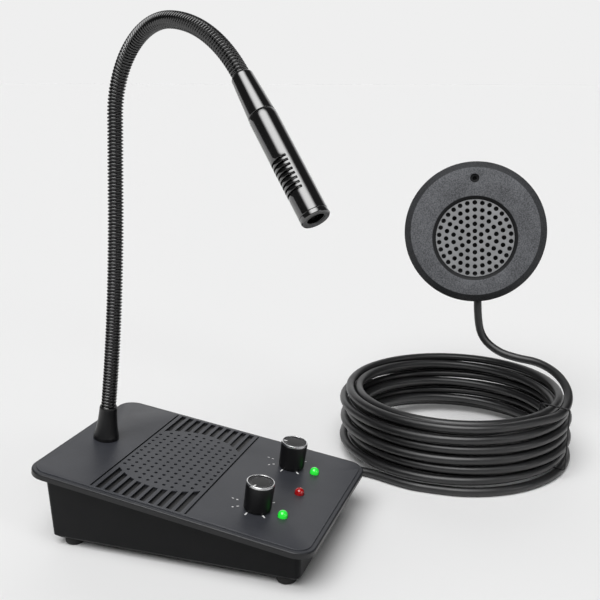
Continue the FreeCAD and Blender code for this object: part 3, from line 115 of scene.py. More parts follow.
def surface(name, points, ring=True, loop=False, keep=None):
    """A mesh of quads over a grid of points: columns close into a ring, and rows into a loop where asked.
    Its UV map runs with the column's share in u and with metres along the rows in v."""
    rows, columns = points.shape[:2]
    index = np.arange(rows * columns).reshape(rows, columns)
    below = index if loop else index[:-1]
    above = np.roll(index, -1, axis=0) if loop else index[1:]
    if ring:
        quads = np.stack([below, np.roll(below, -1, 1), np.roll(above, -1, 1), above], -1)
    else:
        quads = np.stack([below[:, :-1], below[:, 1:], above[:, 1:], above[:, :-1]], -1)
    along = np.linalg.norm(np.diff(points.mean(axis=1), axis=0), axis=1)
    along = np.maximum(along, np.linalg.norm(np.diff(points[:, 0], axis=0), axis=1))
    v = np.concatenate([[0.0], np.cumsum(along), [along.sum() * 1.001]])
    i, j = np.indices(quads.shape[:2])
    u0, u1 = j / columns, (j + 1) / columns
    uv = np.stack([np.stack([u0, v[i]], -1), np.stack([u1, v[i]], -1),
                   np.stack([u1, v[i + 1]], -1), np.stack([u0, v[i + 1]], -1)], 2)
    if keep is not None:
        quads, uv = quads[keep], uv[keep]
    quads, uv = quads.reshape(-1, 4), uv.reshape(-1, 2)
    mesh = bpy.data.meshes.new(name)
    mesh.from_pydata(points.reshape(-1, 3).tolist(), [], quads.tolist())
    layer = mesh.uv_layers.new(name="surface")
    layer.data.foreach_set("uv", uv.ravel())
    return mesh


def tidied(mesh, closed=True):
    """Points that coincide at poles and seams are merged, and closed shapes get outward faces."""
    work = bmesh.new()
    work.from_mesh(mesh)
    bmesh.ops.remove_doubles(work, verts=work.verts, dist=1e-7)
    bmesh.ops.dissolve_degenerate(work, edges=work.edges, dist=1e-8)
    if closed:
        bmesh.ops.recalc_face_normals(work, faces=work.faces)
    work.to_mesh(mesh)
    work.free()
    return mesh


def joined(name, meshes):
    """Several meshes as one, by shifting each one's face indices past the points before it."""
    work = bmesh.new()
    for mesh in meshes:
        work.from_mesh(mesh)
    whole = bpy.data.meshes.new(name)
    work.to_mesh(whole)
    work.free()
    for mesh in meshes:
        bpy.data.meshes.remove(mesh)
    return whole


def add_piece(name, mesh, material, body, stands_for=(), angle=32.0):
    """Links a mesh as a piece that rides on a body, or on none, shaded smooth up to an angle."""
    mesh.materials.clear()
    mesh.materials.append(material)
    mesh.shade_smooth()
    mesh.set_sharp_from_angle(angle=math.radians(angle))
    piece = bpy.data.objects.new(name, mesh)
    bpy.context.scene.collection.objects.link(piece)
    if body:
        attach(piece, body)
    if stands_for:
        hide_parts(*stands_for)
    return piece


def softened(piece, width, segments=2, angle=35.0):
    """A live bevel of small width on the piece's sharp edges."""
    bevel = piece.modifiers.new("edge rounding", "BEVEL")
    bevel.width = width
    bevel.segments = segments
    bevel.limit_method = "ANGLE"
    bevel.angle_limit = math.radians(angle)
    bevel.harden_normals = False
    bevel.use_clamp_overlap = True
    return piece


def turned_piece(name, outline, place, material, body, stands_for=(), rounding=0.0, steps=4, around=72,
                 angle=40.0):
    """A closed turned piece, with its outline's corners rounded if asked."""
    outline = rounded_outline(outline, rounding, steps) if rounding else outline
    mesh = tidied(surface(name, turned(outline, place, around)))
    return add_piece(name, mesh, material, body, stands_for, angle)


def body_of(node):
    for body, nodes in frame["record"]["behaviour"]["bodies"].items():
        if node in nodes:
            return body
    raise RuntimeError("no body holds " + node)


def dressed_copy(node, material, edge=0.0):
    """A merged copy of a node's solid, with flat faces made whole again and its edges softened if asked."""
    mesh = frame["nodes"][node].data.copy()
    work = bmesh.new()
    work.from_mesh(mesh)
    bmesh.ops.remove_doubles(work, verts=work.verts, dist=2e-6)
    bmesh.ops.dissolve_limit(work, angle_limit=math.radians(0.4), verts=work.verts, edges=work.edges,
                             delimit={"NORMAL"})
    work.to_mesh(mesh)
    work.free()
    piece = add_piece(node + "_shell", mesh, material, body_of(node), (node,), 30.0)
    return softened(piece, edge) if edge else piece


# Shader groups

def group_tree(name, inputs, outputs):
    tree = bpy.data.node_groups.new(name, "ShaderNodeTree")
    for label, kind, default in inputs:
        socket = tree.interface.new_socket(name=label, in_out="INPUT", socket_type=kind)
        if default is not None:
            socket.default_value = default
    for label, kind in outputs:
        tree.interface.new_socket(name=label, in_out="OUTPUT", socket_type=kind)
    return tree, tree.nodes.new("NodeGroupInput"), tree.nodes.new("NodeGroupOutput")


class Graph:
    """Short ways to add and link nodes in one tree."""

    def __init__(self, tree):
        self.tree = tree

    def node(self, kind, **settings):
        made = self.tree.nodes.new(kind)
        for key, value in settings.items():
            setattr(made, key, value)
        return made

    def link(self, source, target):
        self.tree.links.new(source, target)

    def feed(self, target, value):
        if isinstance(value, bpy.types.NodeSocket):
            self.link(value, target)
        else:
            target.default_value = value

    def math(self, operation, a, b=0.0, clamp=False):
        made = self.node("ShaderNodeMath", operation=operation, use_clamp=clamp)
        self.feed(made.inputs[0], a)
        self.feed(made.inputs[1], b)
        return made.outputs[0]

    def noise(self, vector, scale, detail=2.0, roughness=0.5):
        made = self.node("ShaderNodeTexNoise")
        self.feed(made.inputs["Vector"], vector)
        self.feed(made.inputs["Scale"], scale)
        made.inputs["Detail"].default_value = detail
        made.inputs["Roughness"].default_value = roughness
        return made.outputs["Fac"]

    def ramp(self, value, low, high, to_low=0.0, to_high=1.0):
        made = self.node("ShaderNodeMapRange", clamp=True)
        for label, item in (("Value", value), ("From Min", low), ("From Max", high), ("To Min", to_low),
                            ("To Max", to_high)):
            self.feed(made.inputs[label], item)
        return made.outputs["Result"]

    def mix(self, share, a, b):
        made = self.node("ShaderNodeMix", data_type="RGBA")
        self.feed(made.inputs[0], share)
        self.feed(made.inputs[6], a)
        self.feed(made.inputs[7], b)
        return made.outputs[2]


def grain_group():
    """Spark-eroded grain: small pits of a cell pattern on a finer noise, as a height and a mask."""
    tree, into, out = group_tree("moulded grain", [
        ("Vector", "NodeSocketVector", None), ("Scale", "NodeSocketFloat", 1500.0),
        ("Coarse", "NodeSocketFloat", 0.5)], [("Height", "NodeSocketFloat"), ("Mask", "NodeSocketFloat")])
    g = Graph(tree)
    cells = g.node("ShaderNodeTexVoronoi", feature="SMOOTH_F1")
    g.link(into.outputs["Vector"], cells.inputs["Vector"])
    g.link(into.outputs["Scale"], cells.inputs["Scale"])
    fine = g.noise(into.outputs["Vector"], g.math("MULTIPLY", into.outputs["Scale"], 1.9), 3.0)
    wide = g.noise(into.outputs["Vector"], g.math("MULTIPLY", into.outputs["Scale"], 0.12), 2.0)
    pits = g.math("MULTIPLY", cells.outputs["Distance"], into.outputs["Coarse"])
    height = g.math("ADD", pits, g.math("MULTIPLY", fine, 0.55))
    g.link(height, out.inputs["Height"])
    g.link(g.ramp(g.math("ADD", fine, g.math("MULTIPLY", wide, 0.3)), 0.47, 0.83), out.inputs["Mask"])
    return tree


def wear_group():
    """Edge wear: a mask that is high on convex edges, broken up by noise."""
    tree, into, out = group_tree("edge wear", [
        ("Vector", "NodeSocketVector", None), ("Sharpness", "NodeSocketFloat", 0.53),
        ("Break Up", "NodeSocketFloat", 400.0)], [("Mask", "NodeSocketFloat")])
    g = Graph(tree)
    geometry = g.node("ShaderNodeNewGeometry")
    edge = g.ramp(geometry.outputs["Pointiness"], into.outputs["Sharpness"],
                  g.math("ADD", into.outputs["Sharpness"], 0.09))
    broken = g.ramp(g.noise(into.outputs["Vector"], into.outputs["Break Up"], 4.0), 0.38, 0.66)
    g.link(g.math("MULTIPLY", edge, broken, clamp=True), out.inputs["Mask"])
    return tree


def dust_group():
    """Handling haze: broad soft patches with finer specks, for roughness and a trace of colour."""
    tree, into, out = group_tree("handling haze", [
        ("Vector", "NodeSocketVector", None), ("Patch Scale", "NodeSocketFloat", 28.0),
        ("Speck Scale", "NodeSocketFloat", 900.0)],
        [("Haze", "NodeSocketFloat"), ("Specks", "NodeSocketFloat")])
    g = Graph(tree)
    patches = g.noise(into.outputs["Vector"], into.outputs["Patch Scale"], 3.0)
    specks = g.noise(into.outputs["Vector"], into.outputs["Speck Scale"], 1.0)
    g.link(g.ramp(patches, 0.35, 0.7), out.inputs["Haze"])
    g.link(g.ramp(specks, 0.66, 0.76), out.inputs["Specks"])
    return tree


GROUPS = {}


def shared(name):
    """Each shader group is built once, when the first material asks for it."""
    if name not in GROUPS:
        GROUPS[name] = {"grain": grain_group, "wear": wear_group, "haze": dust_group}[name]()
    return GROUPS[name]


class Finish:
    """One material: a Principled shader fed by procedural colour, roughness and bump."""

    def __init__(self, name, sockets=None):
        self.material = bpy.data.materials.new(name)
        self.material.use_nodes = True
        tree = self.material.node_tree
        tree.nodes.clear()
        self.g = Graph(tree)
        self.shader = self.g.node("ShaderNodeBsdfPrincipled")
        output = self.g.node("ShaderNodeOutputMaterial")
        self.g.link(self.shader.outputs[0], output.inputs[0])
        self.place = self.g.node("ShaderNodeTexCoord").outputs["Object"]
        for label, value in (sockets or {}).items():
            self.shader.inputs[label].default_value = value

    def use(self, kind, **inputs):
        made = self.g.node("ShaderNodeGroup", node_tree=shared(kind))
        self.g.link(self.place, made.inputs["Vector"])
        for label, value in inputs.items():
            made.inputs[label.replace("_", " ").title()].default_value = value
        return made.outputs

    def from_point(self, origin):
        """The place less a point of the object, in metres."""
        made = self.g.node("ShaderNodeVectorMath", operation="SUBTRACT")
        self.g.link(self.place, made.inputs[0])
        made.inputs[1].default_value = tuple(origin * MM)
        return made.outputs[0]

    def beneath(self, origin, normal, near, far):
        """0 at one depth under a plane and 1 at a greater one."""
        made = self.g.node("ShaderNodeVectorMath", operation="DOT_PRODUCT")
        self.g.link(self.from_point(origin), made.inputs[0])
        made.inputs[1].default_value = tuple(normal)
        return self.g.ramp(made.outputs["Value"], -near * MM, -far * MM)

    def round_axis(self, origin, axis):
        """Distance from an axis: the length of the cross product of the place and the axis."""
        cross = self.g.node("ShaderNodeVectorMath", operation="CROSS_PRODUCT")
        self.g.link(self.from_point(origin), cross.inputs[0])
        cross.inputs[1].default_value = tuple(axis)
        length = self.g.node("ShaderNodeVectorMath", operation="LENGTH")
        self.g.link(cross.outputs[0], length.inputs[0])
        return length.outputs["Value"]

    def colour(self, value):
        self.g.feed(self.shader.inputs["Base Color"], value)

    def rough(self, value):
        self.g.feed(self.shader.inputs["Roughness"], value)

    def bump(self, height, distance):
        made = self.g.node("ShaderNodeBump")
        made.inputs["Distance"].default_value = distance
        made.inputs["Strength"].default_value = 1.0
        self.g.link(height, made.inputs["Height"])
        self.g.link(made.outputs[0], self.shader.inputs["Normal"])


def rgba(colour):
    return tuple(colour)[:3] + (1.0,)


def lighter(colour, factor):
    return tuple(min(1.0, c * factor) for c in tuple(colour)[:3]) + (1.0,)


def moulded_plastic(name, colour, roughness, grain_scale, grain_depth, variation=0.25, coarse=0.5, coat=0.0,
                    specular=0.4, shaded=None, dark=0.3):
    """Moulded plastic: grain in the bump, mottled colour, patches of haze and, if asked, painted shade: a
    darker colour where a mask is 1."""
    finish = Finish(name, {"Specular IOR Level": specular, "Coat Weight": coat, "Coat Roughness": 0.12})
    g = finish.g
    grain = finish.use("grain", scale=grain_scale, coarse=coarse)
    haze = finish.use("haze")
    shade = g.mix(grain["Mask"], lighter(colour, 1 - variation), lighter(colour, 1 + variation))
    soft = g.math("ADD", roughness - 0.05, g.math("MULTIPLY", haze["Haze"], 0.09))
    shade = g.mix(g.math("MULTIPLY", haze["Specks"], 0.1), shade, lighter(colour, 2.5))
    # Painted shade: where the mask is 1 the colour is darkened by the factor dark.
    finish.colour(g.mix(shaded(finish), shade, lighter(colour, dark)) if shaded else shade)
    finish.rough(soft)
    finish.bump(grain["Height"], grain_depth)
    return finish.material


def lacquered_steel(name, colour):
    """Black lacquer on wound steel wire: glossy, a little thinner on the crests."""
    finish = Finish(name, {"Specular IOR Level": 1.0})
    g = finish.g
    worn = finish.use("wear", sharpness=0.56, break_up=700.0)
    haze = finish.use("haze", patch_scale=60.0, speck_scale=1400.0)
    finish.colour(g.mix(g.math("MULTIPLY", worn["Mask"], 0.25), rgba(colour), lighter(colour, 4.0)))
    finish.rough(g.math("ADD", 0.12, g.math("MULTIPLY", haze["Haze"], 0.08)))
    finish.bump(g.noise(finish.place, 2600.0, 2.0), 0.00001)
    return finish.material


def plain_metal(name, colour, roughness, metallic=1.0):
    """Plated or bare sheet metal: stretched scratches in roughness and bump, with cloudy colour."""
    finish = Finish(name, {"Metallic": metallic})
    g = finish.g
    stretch = g.node("ShaderNodeMapping")
    stretch.inputs["Scale"].default_value = (1.0, 9.0, 1.0)
    g.link(finish.place, stretch.inputs["Vector"])
    scratches = g.noise(stretch.outputs[0], 260.0, 4.0, 0.65)
    clouds = finish.use("haze", patch_scale=90.0)
    finish.colour(g.mix(clouds["Haze"], lighter(colour, 0.86), rgba(colour)))
    finish.rough(g.ramp(scratches, 0.3, 0.7, roughness - 0.07, roughness + 0.1))
    finish.bump(scratches, 0.000006)
    return finish.material


def lathe_turned(name, colour, roughness, metallic, groove=0.00012):
    """A face turned on a lathe: fine rings round its middle, with the highlight stretched across them."""
    finish = Finish(name, {"Metallic": metallic, "Anisotropic": 0.85, "Specular IOR Level": 0.7})
    g = finish.g
    tangent = g.node("ShaderNodeTangent", direction_type="UV_MAP", uv_map="surface")
    g.link(tangent.outputs[0], finish.shader.inputs["Tangent"])
    split = g.node("ShaderNodeSeparateXYZ")
    g.link(g.node("ShaderNodeUVMap", uv_map="surface").outputs[0], split.inputs[0])
    rings = g.math("SINE", g.math("MULTIPLY", split.outputs["Y"], 2 * math.pi / groove))
    cloud = finish.use("haze", patch_scale=220.0)
    finish.colour(g.mix(cloud["Haze"], lighter(colour, 0.8), lighter(colour, 1.25)))
    finish.rough(g.math("ADD", roughness, g.math("MULTIPLY", rings, 0.05)))
    finish.bump(rings, 0.000006)
    return finish.material


def rubber_jacket(name, colour, roughness=0.42, specular=0.5):
    """A cable's jacket: satin, with slow changes of shine and a fine skin."""
    finish = Finish(name, {"Specular IOR Level": specular})
    g = finish.g
    haze = finish.use("haze", patch_scale=45.0, speck_scale=1200.0)
    grain = finish.use("grain", scale=2400.0, coarse=0.3)
    finish.colour(g.mix(g.math("MULTIPLY", haze["Specks"], 0.2), rgba(colour), lighter(colour, 2.2)))
    finish.rough(g.math("ADD", roughness, g.math("MULTIPLY", haze["Haze"], 0.12)))
    finish.bump(grain["Height"], 0.00002)
    return finish.material


def lamp_lens(name, colour, glow, strength):
    """A coloured lamp body: clear skin over a cloudy core, with its own light where it is lit."""
    finish = Finish(name, {"Roughness": 0.08, "Coat Weight": 1.0, "Coat Roughness": 0.03,
                           "Emission Strength": strength})
    g = finish.g
    cloud = g.noise(finish.place, 700.0, 2.0)
    finish.colour(g.mix(cloud, lighter(colour, 0.6), lighter(colour, 1.3)))
    facing = g.node("ShaderNodeLayerWeight")
    facing.inputs["Blend"].default_value = 0.35
    core = g.ramp(facing.outputs["Facing"], 0.0, 0.8)
    g.link(g.mix(core, rgba(glow), lighter(colour, 0.5)), finish.shader.inputs["Emission Color"])
    return finish.material


def laminate(name, colour):
    """Circuit board: green mask over glass cloth, with tracks that stand a little proud."""
    finish = Finish(name, {"Specular IOR Level": 0.5, "Coat Weight": 0.4, "Coat Roughness": 0.2})
    g = finish.g
    tracks = g.node("ShaderNodeTexBrick")
    g.link(finish.place, tracks.inputs["Vector"])
    tracks.inputs["Scale"].default_value = 220.0
    tracks.inputs["Mortar Size"].default_value = 0.03
    finish.colour(g.mix(tracks.outputs["Fac"], lighter(colour, 0.7), lighter(colour, 1.5)))
    finish.rough(g.ramp(g.noise(finish.place, 500.0), 0.3, 0.7, 0.3, 0.5))
    finish.bump(tracks.outputs["Fac"], 0.00003)
    return finish.material


def paper_cone(name, colour):
    """Pressed paper pulp: fibres in the colour and the bump."""
    finish = Finish(name)
    g = finish.g
    fibres = g.noise(finish.place, 1500.0, 6.0, 0.7)
    finish.colour(g.mix(fibres, lighter(colour, 0.5), lighter(colour, 1.8)))
    finish.rough(g.ramp(fibres, 0.3, 0.7, 0.75, 0.95))
    finish.bump(fibres, 0.00006)
    return finish.material


# Sizes and colours that a user would change

def size(name, description, default, low=0.0001):
    return FloatProperty(name=name, description=description, default=default, min=low, unit="LENGTH",
                         subtype="DISTANCE", precision=5)


def tint(name, description, default):
    return FloatVectorProperty(name=name, description=description, default=default, size=3, min=0.0, max=1.0,
                               subtype="COLOR")


class ConsoleSettings(bpy.types.PropertyGroup):
    plastic: tint("Plastic", "Colour of the console's charcoal shells", (0.035, 0.037, 0.0445))
    # Painted shade: the lower shell is the cover's charcoal plastic made about six times darker, standing in
    # for the shade on its sides.
    case_plastic: tint("Case Plastic", "Colour of the console's lower shell", (0.006, 0.0063, 0.007))
    print_colour: tint("Print", "Colour of the marks round the knobs", (0.75, 0.75, 0.75))
    edge_rounding: size("Edge Rounding", "Rounding of the moulded edges", 0.00022)
    grain_depth: size("Grain Depth", "Depth of the moulded grain", 0.00003, 0.0)
    green: tint("Green Lamp", "Colour of the two lit lamps", (0.02, 0.62, 0.05))
    red: tint("Red Lamp", "Colour of the lamp that is not lit", (0.42, 0.002, 0.004))


class KnobSettings(bpy.types.PropertyGroup):
    base_radius: size("Base Radius", "Radius of a knob at its foot", 0.00694)
    top_radius: size("Top Radius", "Radius of a knob at its bright rim", 0.00715)
    foot: size("Foot Gap", "Gap between a knob and the cover", 0.0007)
    height: size("Height", "Height of a knob", 0.0144)
    rim_width: size("Rim Width", "Width of the bright rim", 0.00055)
    left_pointer: FloatProperty(name="Left Pointer", description="Where the left knob points, clockwise",
                                default=math.radians(-75), unit="ROTATION", subtype="ANGLE")
    right_pointer: FloatProperty(name="Right Pointer", description="Where the right knob points, clockwise",
                                 default=math.radians(-12), unit="ROTATION", subtype="ANGLE")
    plastic: tint("Plastic", "Colour of the knobs", (0.004, 0.004, 0.0045))
    rim: tint("Rim", "Colour of the bright rims", (0.86, 0.87, 0.88))


class GooseneckSettings(bpy.types.PropertyGroup):
    crest_radius: size("Crest Radius", "Radius over the wound wire", 0.00409)
    root_radius: size("Root Radius", "Radius in the valleys of the wire", 0.0032)
    wire_pitch: size("Wire Pitch", "Distance from one turn of wire to the next", 0.00175)
    lacquer: tint("Lacquer", "Colour of the wound steel wire", (0.0018, 0.0018, 0.002))
    boot: tint("Boot", "Colour of the moulded boot", (0.005, 0.005, 0.0055))


class MicrophoneSettings(bpy.types.PropertyGroup):
    radius: size("Radius", "Outer radius of the microphone barrel", 0.00625)
    wall: size("Wall", "Thickness of the barrel's wall", 0.0010)
    slot_width: size("Slot Width", "Width of a sound slot", 0.00095)
    slot_pitch: size("Slot Pitch", "Distance from slot to slot", 0.0022)
    plastic: tint("Plastic", "Colour of the glossy barrel", (0.002, 0.002, 0.0022))
    face: tint("Face", "Colour of the ring at the open end", (0.09, 0.09, 0.092))


class WindowUnitSettings(bpy.types.PropertyGroup):
    plastic: tint("Plastic", "Colour of the grained front", (0.138, 0.142, 0.152))
    edge_rounding: size("Edge Rounding", "Rounding of the front's edges", 0.0003)
    grain_depth: size("Grain Depth", "Depth of the moulded grain", 0.00013, 0.0)
    grille: tint("Grille", "Colour of the perforated metal", (0.38, 0.385, 0.395))


class CableSettings(bpy.types.PropertyGroup):
    diameter: size("Diameter", "Outer diameter of the cable", 0.0052)
    coil_radius: size("Coil Radius", "Radius of the coil's outermost turns", 0.0714)
    points_per_turn: IntProperty(name="Points per Turn", description="Control points in a turn of the coil",
                                 default=16, min=12, max=48)
    jacket: tint("Jacket", "Colour of the cable's jacket", (0.008, 0.008, 0.0086))


class StageSettings(bpy.types.PropertyGroup):
    backdrop: tint("Backdrop", "Colour of floor and backdrop as the camera sees them", (0.863, 0.863, 0.863))
    bounce: FloatProperty(name="Bounce", description="Share of the floor's light that the object gets back",
                          default=0.1, min=0.0, max=1.0, subtype="FACTOR")
    room_level: FloatProperty(name="Room Level", description="Brightness of the room behind the camera",
                              default=0.06, min=0.0, max=1.0, subtype="FACTOR")
    overhead_level: FloatProperty(name="Overhead Level", description="Brightness of the soft box overhead",
                                  default=6.85, min=0.0, subtype="FACTOR")
    side_level: FloatProperty(name="Side Level", description="Brightness of the soft box at the side",
                              default=5.0, min=0.0, subtype="FACTOR")


SETTINGS = {
    "intercom_console": ConsoleSettings, "intercom_knobs": KnobSettings,
    "intercom_gooseneck": GooseneckSettings, "intercom_microphone": MicrophoneSettings,
    "intercom_window_unit": WindowUnitSettings, "intercom_cable": CableSettings,
    "intercom_stage": StageSettings,
}


# Stage: the camera that was solved from the photograph, and the studio round the object

CAMERA_PLACE = Vector((-0.3950, -0.1846, 0.2348))
CAMERA_RIGHT = Vector((0.3162, -0.9487, 0.0))
CAMERA_FORWARD = Vector((0.9198, 0.3066, -0.2448))
CAMERA_UP = Vector((0.2322, 0.0774, 0.9696))
CAMERA_LENS = 52.9
FLOOR_REACH, FLOOR_DROP = 30.0, 0.0003

# Turn and rise of a direction, and the outer and inner angle round it, in degrees
SWEEP = (18.4, 14.0, 46.0, 28.0)
OVERHEAD_BOX = (178.0, 60.0, 34.0, 8.0)
SIDE_BOX = (252.0, 22.0, 12.0, 5.0)


def set_stage(settings):
    scene = bpy.context.scene
    scene.view_settings.view_transform = "Standard"
    camera = bpy.data.objects.new("camera", bpy.data.cameras.new("camera"))
    scene.collection.objects.link(camera)
    camera.data.sensor_width = 36.0
    camera.data.lens = CAMERA_LENS
    camera.data.clip_start, camera.data.clip_end = 0.01, 100.0
    turn = Matrix((CAMERA_RIGHT, CAMERA_UP, -CAMERA_FORWARD)).transposed().to_4x4()
    camera.matrix_world = Matrix.Translation(CAMERA_PLACE) @ turn
    scene.camera = camera

    floor_mesh = bpy.data.meshes.new("floor")
    corners = [(FLOOR_REACH * x, FLOOR_REACH * y, 0) for x, y in ((-1, -1), (1, -1), (1, 1), (-1, 1))]
    floor_mesh.from_pydata(corners, [], [(0, 1, 2, 3)])
    floor = bpy.data.objects.new("floor", floor_mesh)
    scene.collection.objects.link(floor)
    floor.location.z = -FLOOR_DROP
    finish = Finish("pale floor", {"Roughness": 1.0, "Specular IOR Level": 0.0})
    bounced = finish.g.node("ShaderNodeLightPath").outputs["Is Diffuse Ray"]
    finish.colour(finish.g.mix(bounced, rgba(settings.backdrop), lighter(settings.backdrop, settings.bounce)))
    floor_mesh.materials.append(finish.material)
    set_world(scene, settings)


def ray_within(g, ray, turn, rise, outer, inner):
    """1 within an angle of a direction, 0 past a wider one, and the smooth step of the cosine between."""
    az, el = math.radians(turn), math.radians(rise)
    toward = g.node("ShaderNodeVectorMath", operation="DOT_PRODUCT")
    g.link(ray, toward.inputs[0])
    toward.inputs[1].default_value = (math.cos(el) * math.cos(az), math.cos(el) * math.sin(az), math.sin(el))
    step = g.node("ShaderNodeMapRange", interpolation_type="SMOOTHSTEP")
    g.link(toward.outputs["Value"], step.inputs["Value"])
    step.inputs["From Min"].default_value = math.cos(math.radians(outer))
    step.inputs["From Max"].default_value = math.cos(math.radians(inner))
    return step.outputs["Result"]


def set_world(scene, settings):
    """A studio far away: a pale sweep behind the object, a dim room behind the camera, one large soft box
    overhead and a small one at the side. A camera sees the sweep whichever way it looks."""
    world = bpy.data.worlds.new("studio")
    scene.world = world
    world.use_nodes = True
    world.node_tree.nodes.clear()
    g = Graph(world.node_tree)
    ray = g.node("ShaderNodeTexCoord").outputs["Generated"]
    dim = (settings.room_level,) * 3
    surroundings = g.node("ShaderNodeBackground")
    seen = g.node("ShaderNodeLightPath").outputs["Is Camera Ray"]
    pale = g.math("MAXIMUM", ray_within(g, ray, *SWEEP), seen)
    g.link(g.mix(pale, rgba(dim), rgba(settings.backdrop)), surroundings.inputs["Color"])
    overhead = g.math("MULTIPLY", ray_within(g, ray, *OVERHEAD_BOX), settings.overhead_level)
    side = g.math("MULTIPLY", ray_within(g, ray, *SIDE_BOX), settings.side_level)
    boxes = g.node("ShaderNodeBackground")
    g.link(g.math("ADD", overhead, side), boxes.inputs["Strength"])
    both = g.node("ShaderNodeAddShader")
    g.link(surroundings.outputs[0], both.inputs[0])
    g.link(boxes.outputs[0], both.inputs[1])
    g.link(both.outputs[0], g.node("ShaderNodeOutputWorld").inputs[0])


# Cable

WINDOW_ROUTE = [(176.5, -121.8, 66.7), (174.4, -132.4, 59.0), (173.0, -145.1, 56.3), (170.7, -158.1, 55.9),
                (163.6, -168.9, 53.4), (153.2, -176.3, 49.8), (141.3, -180.0, 45.9), (129.0, -179.6, 42.6)]
CONSOLE_ROUTE = [(77.2, -94.7, 2.6), (79.0, -87.6, 2.6), (81.5, -80.6, 2.6), (84.2, -73.6, 2.6),
                 (86.2, -66.0, 2.6), (86.4, -57.5, 2.6), (84.6, -48.5, 2.6), (80.6, -36.0, 2.6),
                 (75.6, -18.0, 2.6), (71.2, 12.0, 2.6), (69.0, 44.0, 2.6),
                 (69.2, 74.0, 2.6), (70.6, 102.4, 2.6), (59.5, 118.7, 2.6), (41.5, 124.5, 4.0),
                 (23.3, 119.0, 9.0), (12.0, 104.0, 14.4)]
COIL_MIDDLE = np.array([147.1, -109.5])
COIL_PITCH, COIL_LAYERS = 6.3, 7
COIL_REFERENCE = math.radians(-51.6)
COIL_START, COIL_END, SPIRAL, CLIMB = 0.213, 12.375, 1.5, 0.5
CABLE_LEAD = 13.2
UNIT_RADIUS, UNIT_BACK, UNIT_DEPTH, EXIT_OFFSET, WAIST = 46.0, 9.0, 19.0, 1.7, 3.8
GRILLE_DROP, MIC_HOLE_PLACE = 4.4, 34.6
UNIT_MIDDLE = np.array([190.1, -111.8, 135.5])
UNIT_TILT, UNIT_HEADING, UNIT_ROLL = math.radians(12.0), math.radians(187.1), math.radians(2.9)
PLUG_FACE, PLUG_REAR = 68.28, 84.78
LINE_PLACE = np.array([12.0, 0.0, 14.4])


def coil_points(turns, radius):
    """Centreline after so many clockwise turns: radius falls by a pitch per turn in one layer and grows in
    the next, and between them height falls by a pitch in half a turn. Small sines loosen the strands."""
    period = SPIRAL + CLIMB
    layer = np.minimum(turns // period, COIL_LAYERS - 1)
    within = turns - layer * period
    last = layer == COIL_LAYERS - 1
    travelled = np.where(last, 0, np.minimum(within, SPIRAL) * COIL_PITCH)
    inward = np.where(layer % 2 == 0, travelled, np.where(last, 0, SPIRAL * COIL_PITCH - travelled))
    drop = np.where(last, layer, layer + np.maximum(0, within - SPIRAL) / CLIMB)
    height = 2.6 + (COIL_LAYERS - 1 - drop) * COIL_PITCH
    angle = COIL_REFERENCE - 2 * math.pi * turns
    loose = np.clip(turns - COIL_START, 0, 0.5) * np.clip(COIL_END - turns, 0, 0.5) * 4
    r = radius - inward + 0.24 * loose * np.sin(7.1 * turns + 1.3)
    height = height + 0.16 * loose * np.sin(5.3 * turns) * (height > 4)
    return np.stack([COIL_MIDDLE[0] + r * np.cos(angle), COIL_MIDDLE[1] + r * np.sin(angle), height], -1)


def coil_way(turns):
    """Unit tangent of the coil at its ends: the clockwise direction round its middle."""
    angle = COIL_REFERENCE - 2 * math.pi * turns
    return np.array([math.sin(angle), -math.cos(angle), 0.0])


def unit_place():
    """Origin at the middle of the window unit's back, X to its right, Y up, N towards the clerk's side."""
    level = np.array([math.cos(UNIT_HEADING), math.sin(UNIT_HEADING), 0.0])
    upright = np.array([0.0, 0.0, 1.0])
    facing = math.cos(UNIT_TILT) * level + math.sin(UNIT_TILT) * upright
    up = math.cos(UNIT_TILT) * upright - math.sin(UNIT_TILT) * level
    up = up * math.cos(UNIT_ROLL) + np.cross(facing, up) * math.sin(UNIT_ROLL)
    return UNIT_MIDDLE - facing * UNIT_DEPTH / 2, np.cross(up, facing), up, facing


def make_cable(settings):
    origin, right, up, facing = unit_place()
    drop = math.sqrt(UNIT_RADIUS ** 2 - (EXIT_OFFSET + WAIST) ** 2)
    leave = origin + right * EXIT_OFFSET - up * drop + facing * UNIT_BACK
    diameter = settings.diameter / MM
    per_turn = settings.points_per_turn
    inside = (6 + 2 * math.cos(2 * math.pi / per_turn)) / 8
    radius = settings.coil_radius / MM
    count = round((COIL_END - COIL_START) * per_turn)
    turns = np.linspace(COIL_START, COIL_END, count + 1)[1:-1]
    loops = coil_points(turns, radius)
    middle = np.append(COIL_MIDDLE, 0.0)
    spread = np.array([1 / inside, 1 / inside, 1.0])
    loops = middle + (loops - middle) * spread
    start = coil_points(np.array([COIL_START]), radius)[0]
    end = coil_points(np.array([COIL_END]), radius)[0]
    first = start - coil_way(COIL_START) * diameter
    points = np.vstack([
        leave, leave - up * CABLE_LEAD, WINDOW_ROUTE, first - coil_way(COIL_START) * CABLE_LEAD, first, loops,
        end, CONSOLE_ROUTE,
        (LINE_PLACE[0], PLUG_REAR, LINE_PLACE[2])]) * MM
    curve = bpy.data.curves.new("cable", "CURVE")
    curve.dimensions = "3D"
    spline = curve.splines.new("NURBS")
    spline.points.add(len(points) - 1)
    spline.points.foreach_set("co", np.hstack([points, np.ones((len(points), 1))]).ravel())
    spline.order_u = 3
    spline.use_endpoint_u = True
    spline.resolution_u = 4
    curve.bevel_depth = settings.diameter / 2
    curve.bevel_resolution = 6
    curve.use_fill_caps = True
    curve.materials.append(rubber_jacket("cable jacket", settings.jacket, 0.36, 0.75))
    cable = bpy.data.objects.new("cable", curve)
    bpy.context.scene.collection.objects.link(cable)
    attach(cable, "console")
    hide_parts("window_cable", "cable_coil", "console_cable")
    tie = make_tie()
    plug = make_plug()


TIE_ANGLE = math.radians(-111.6)


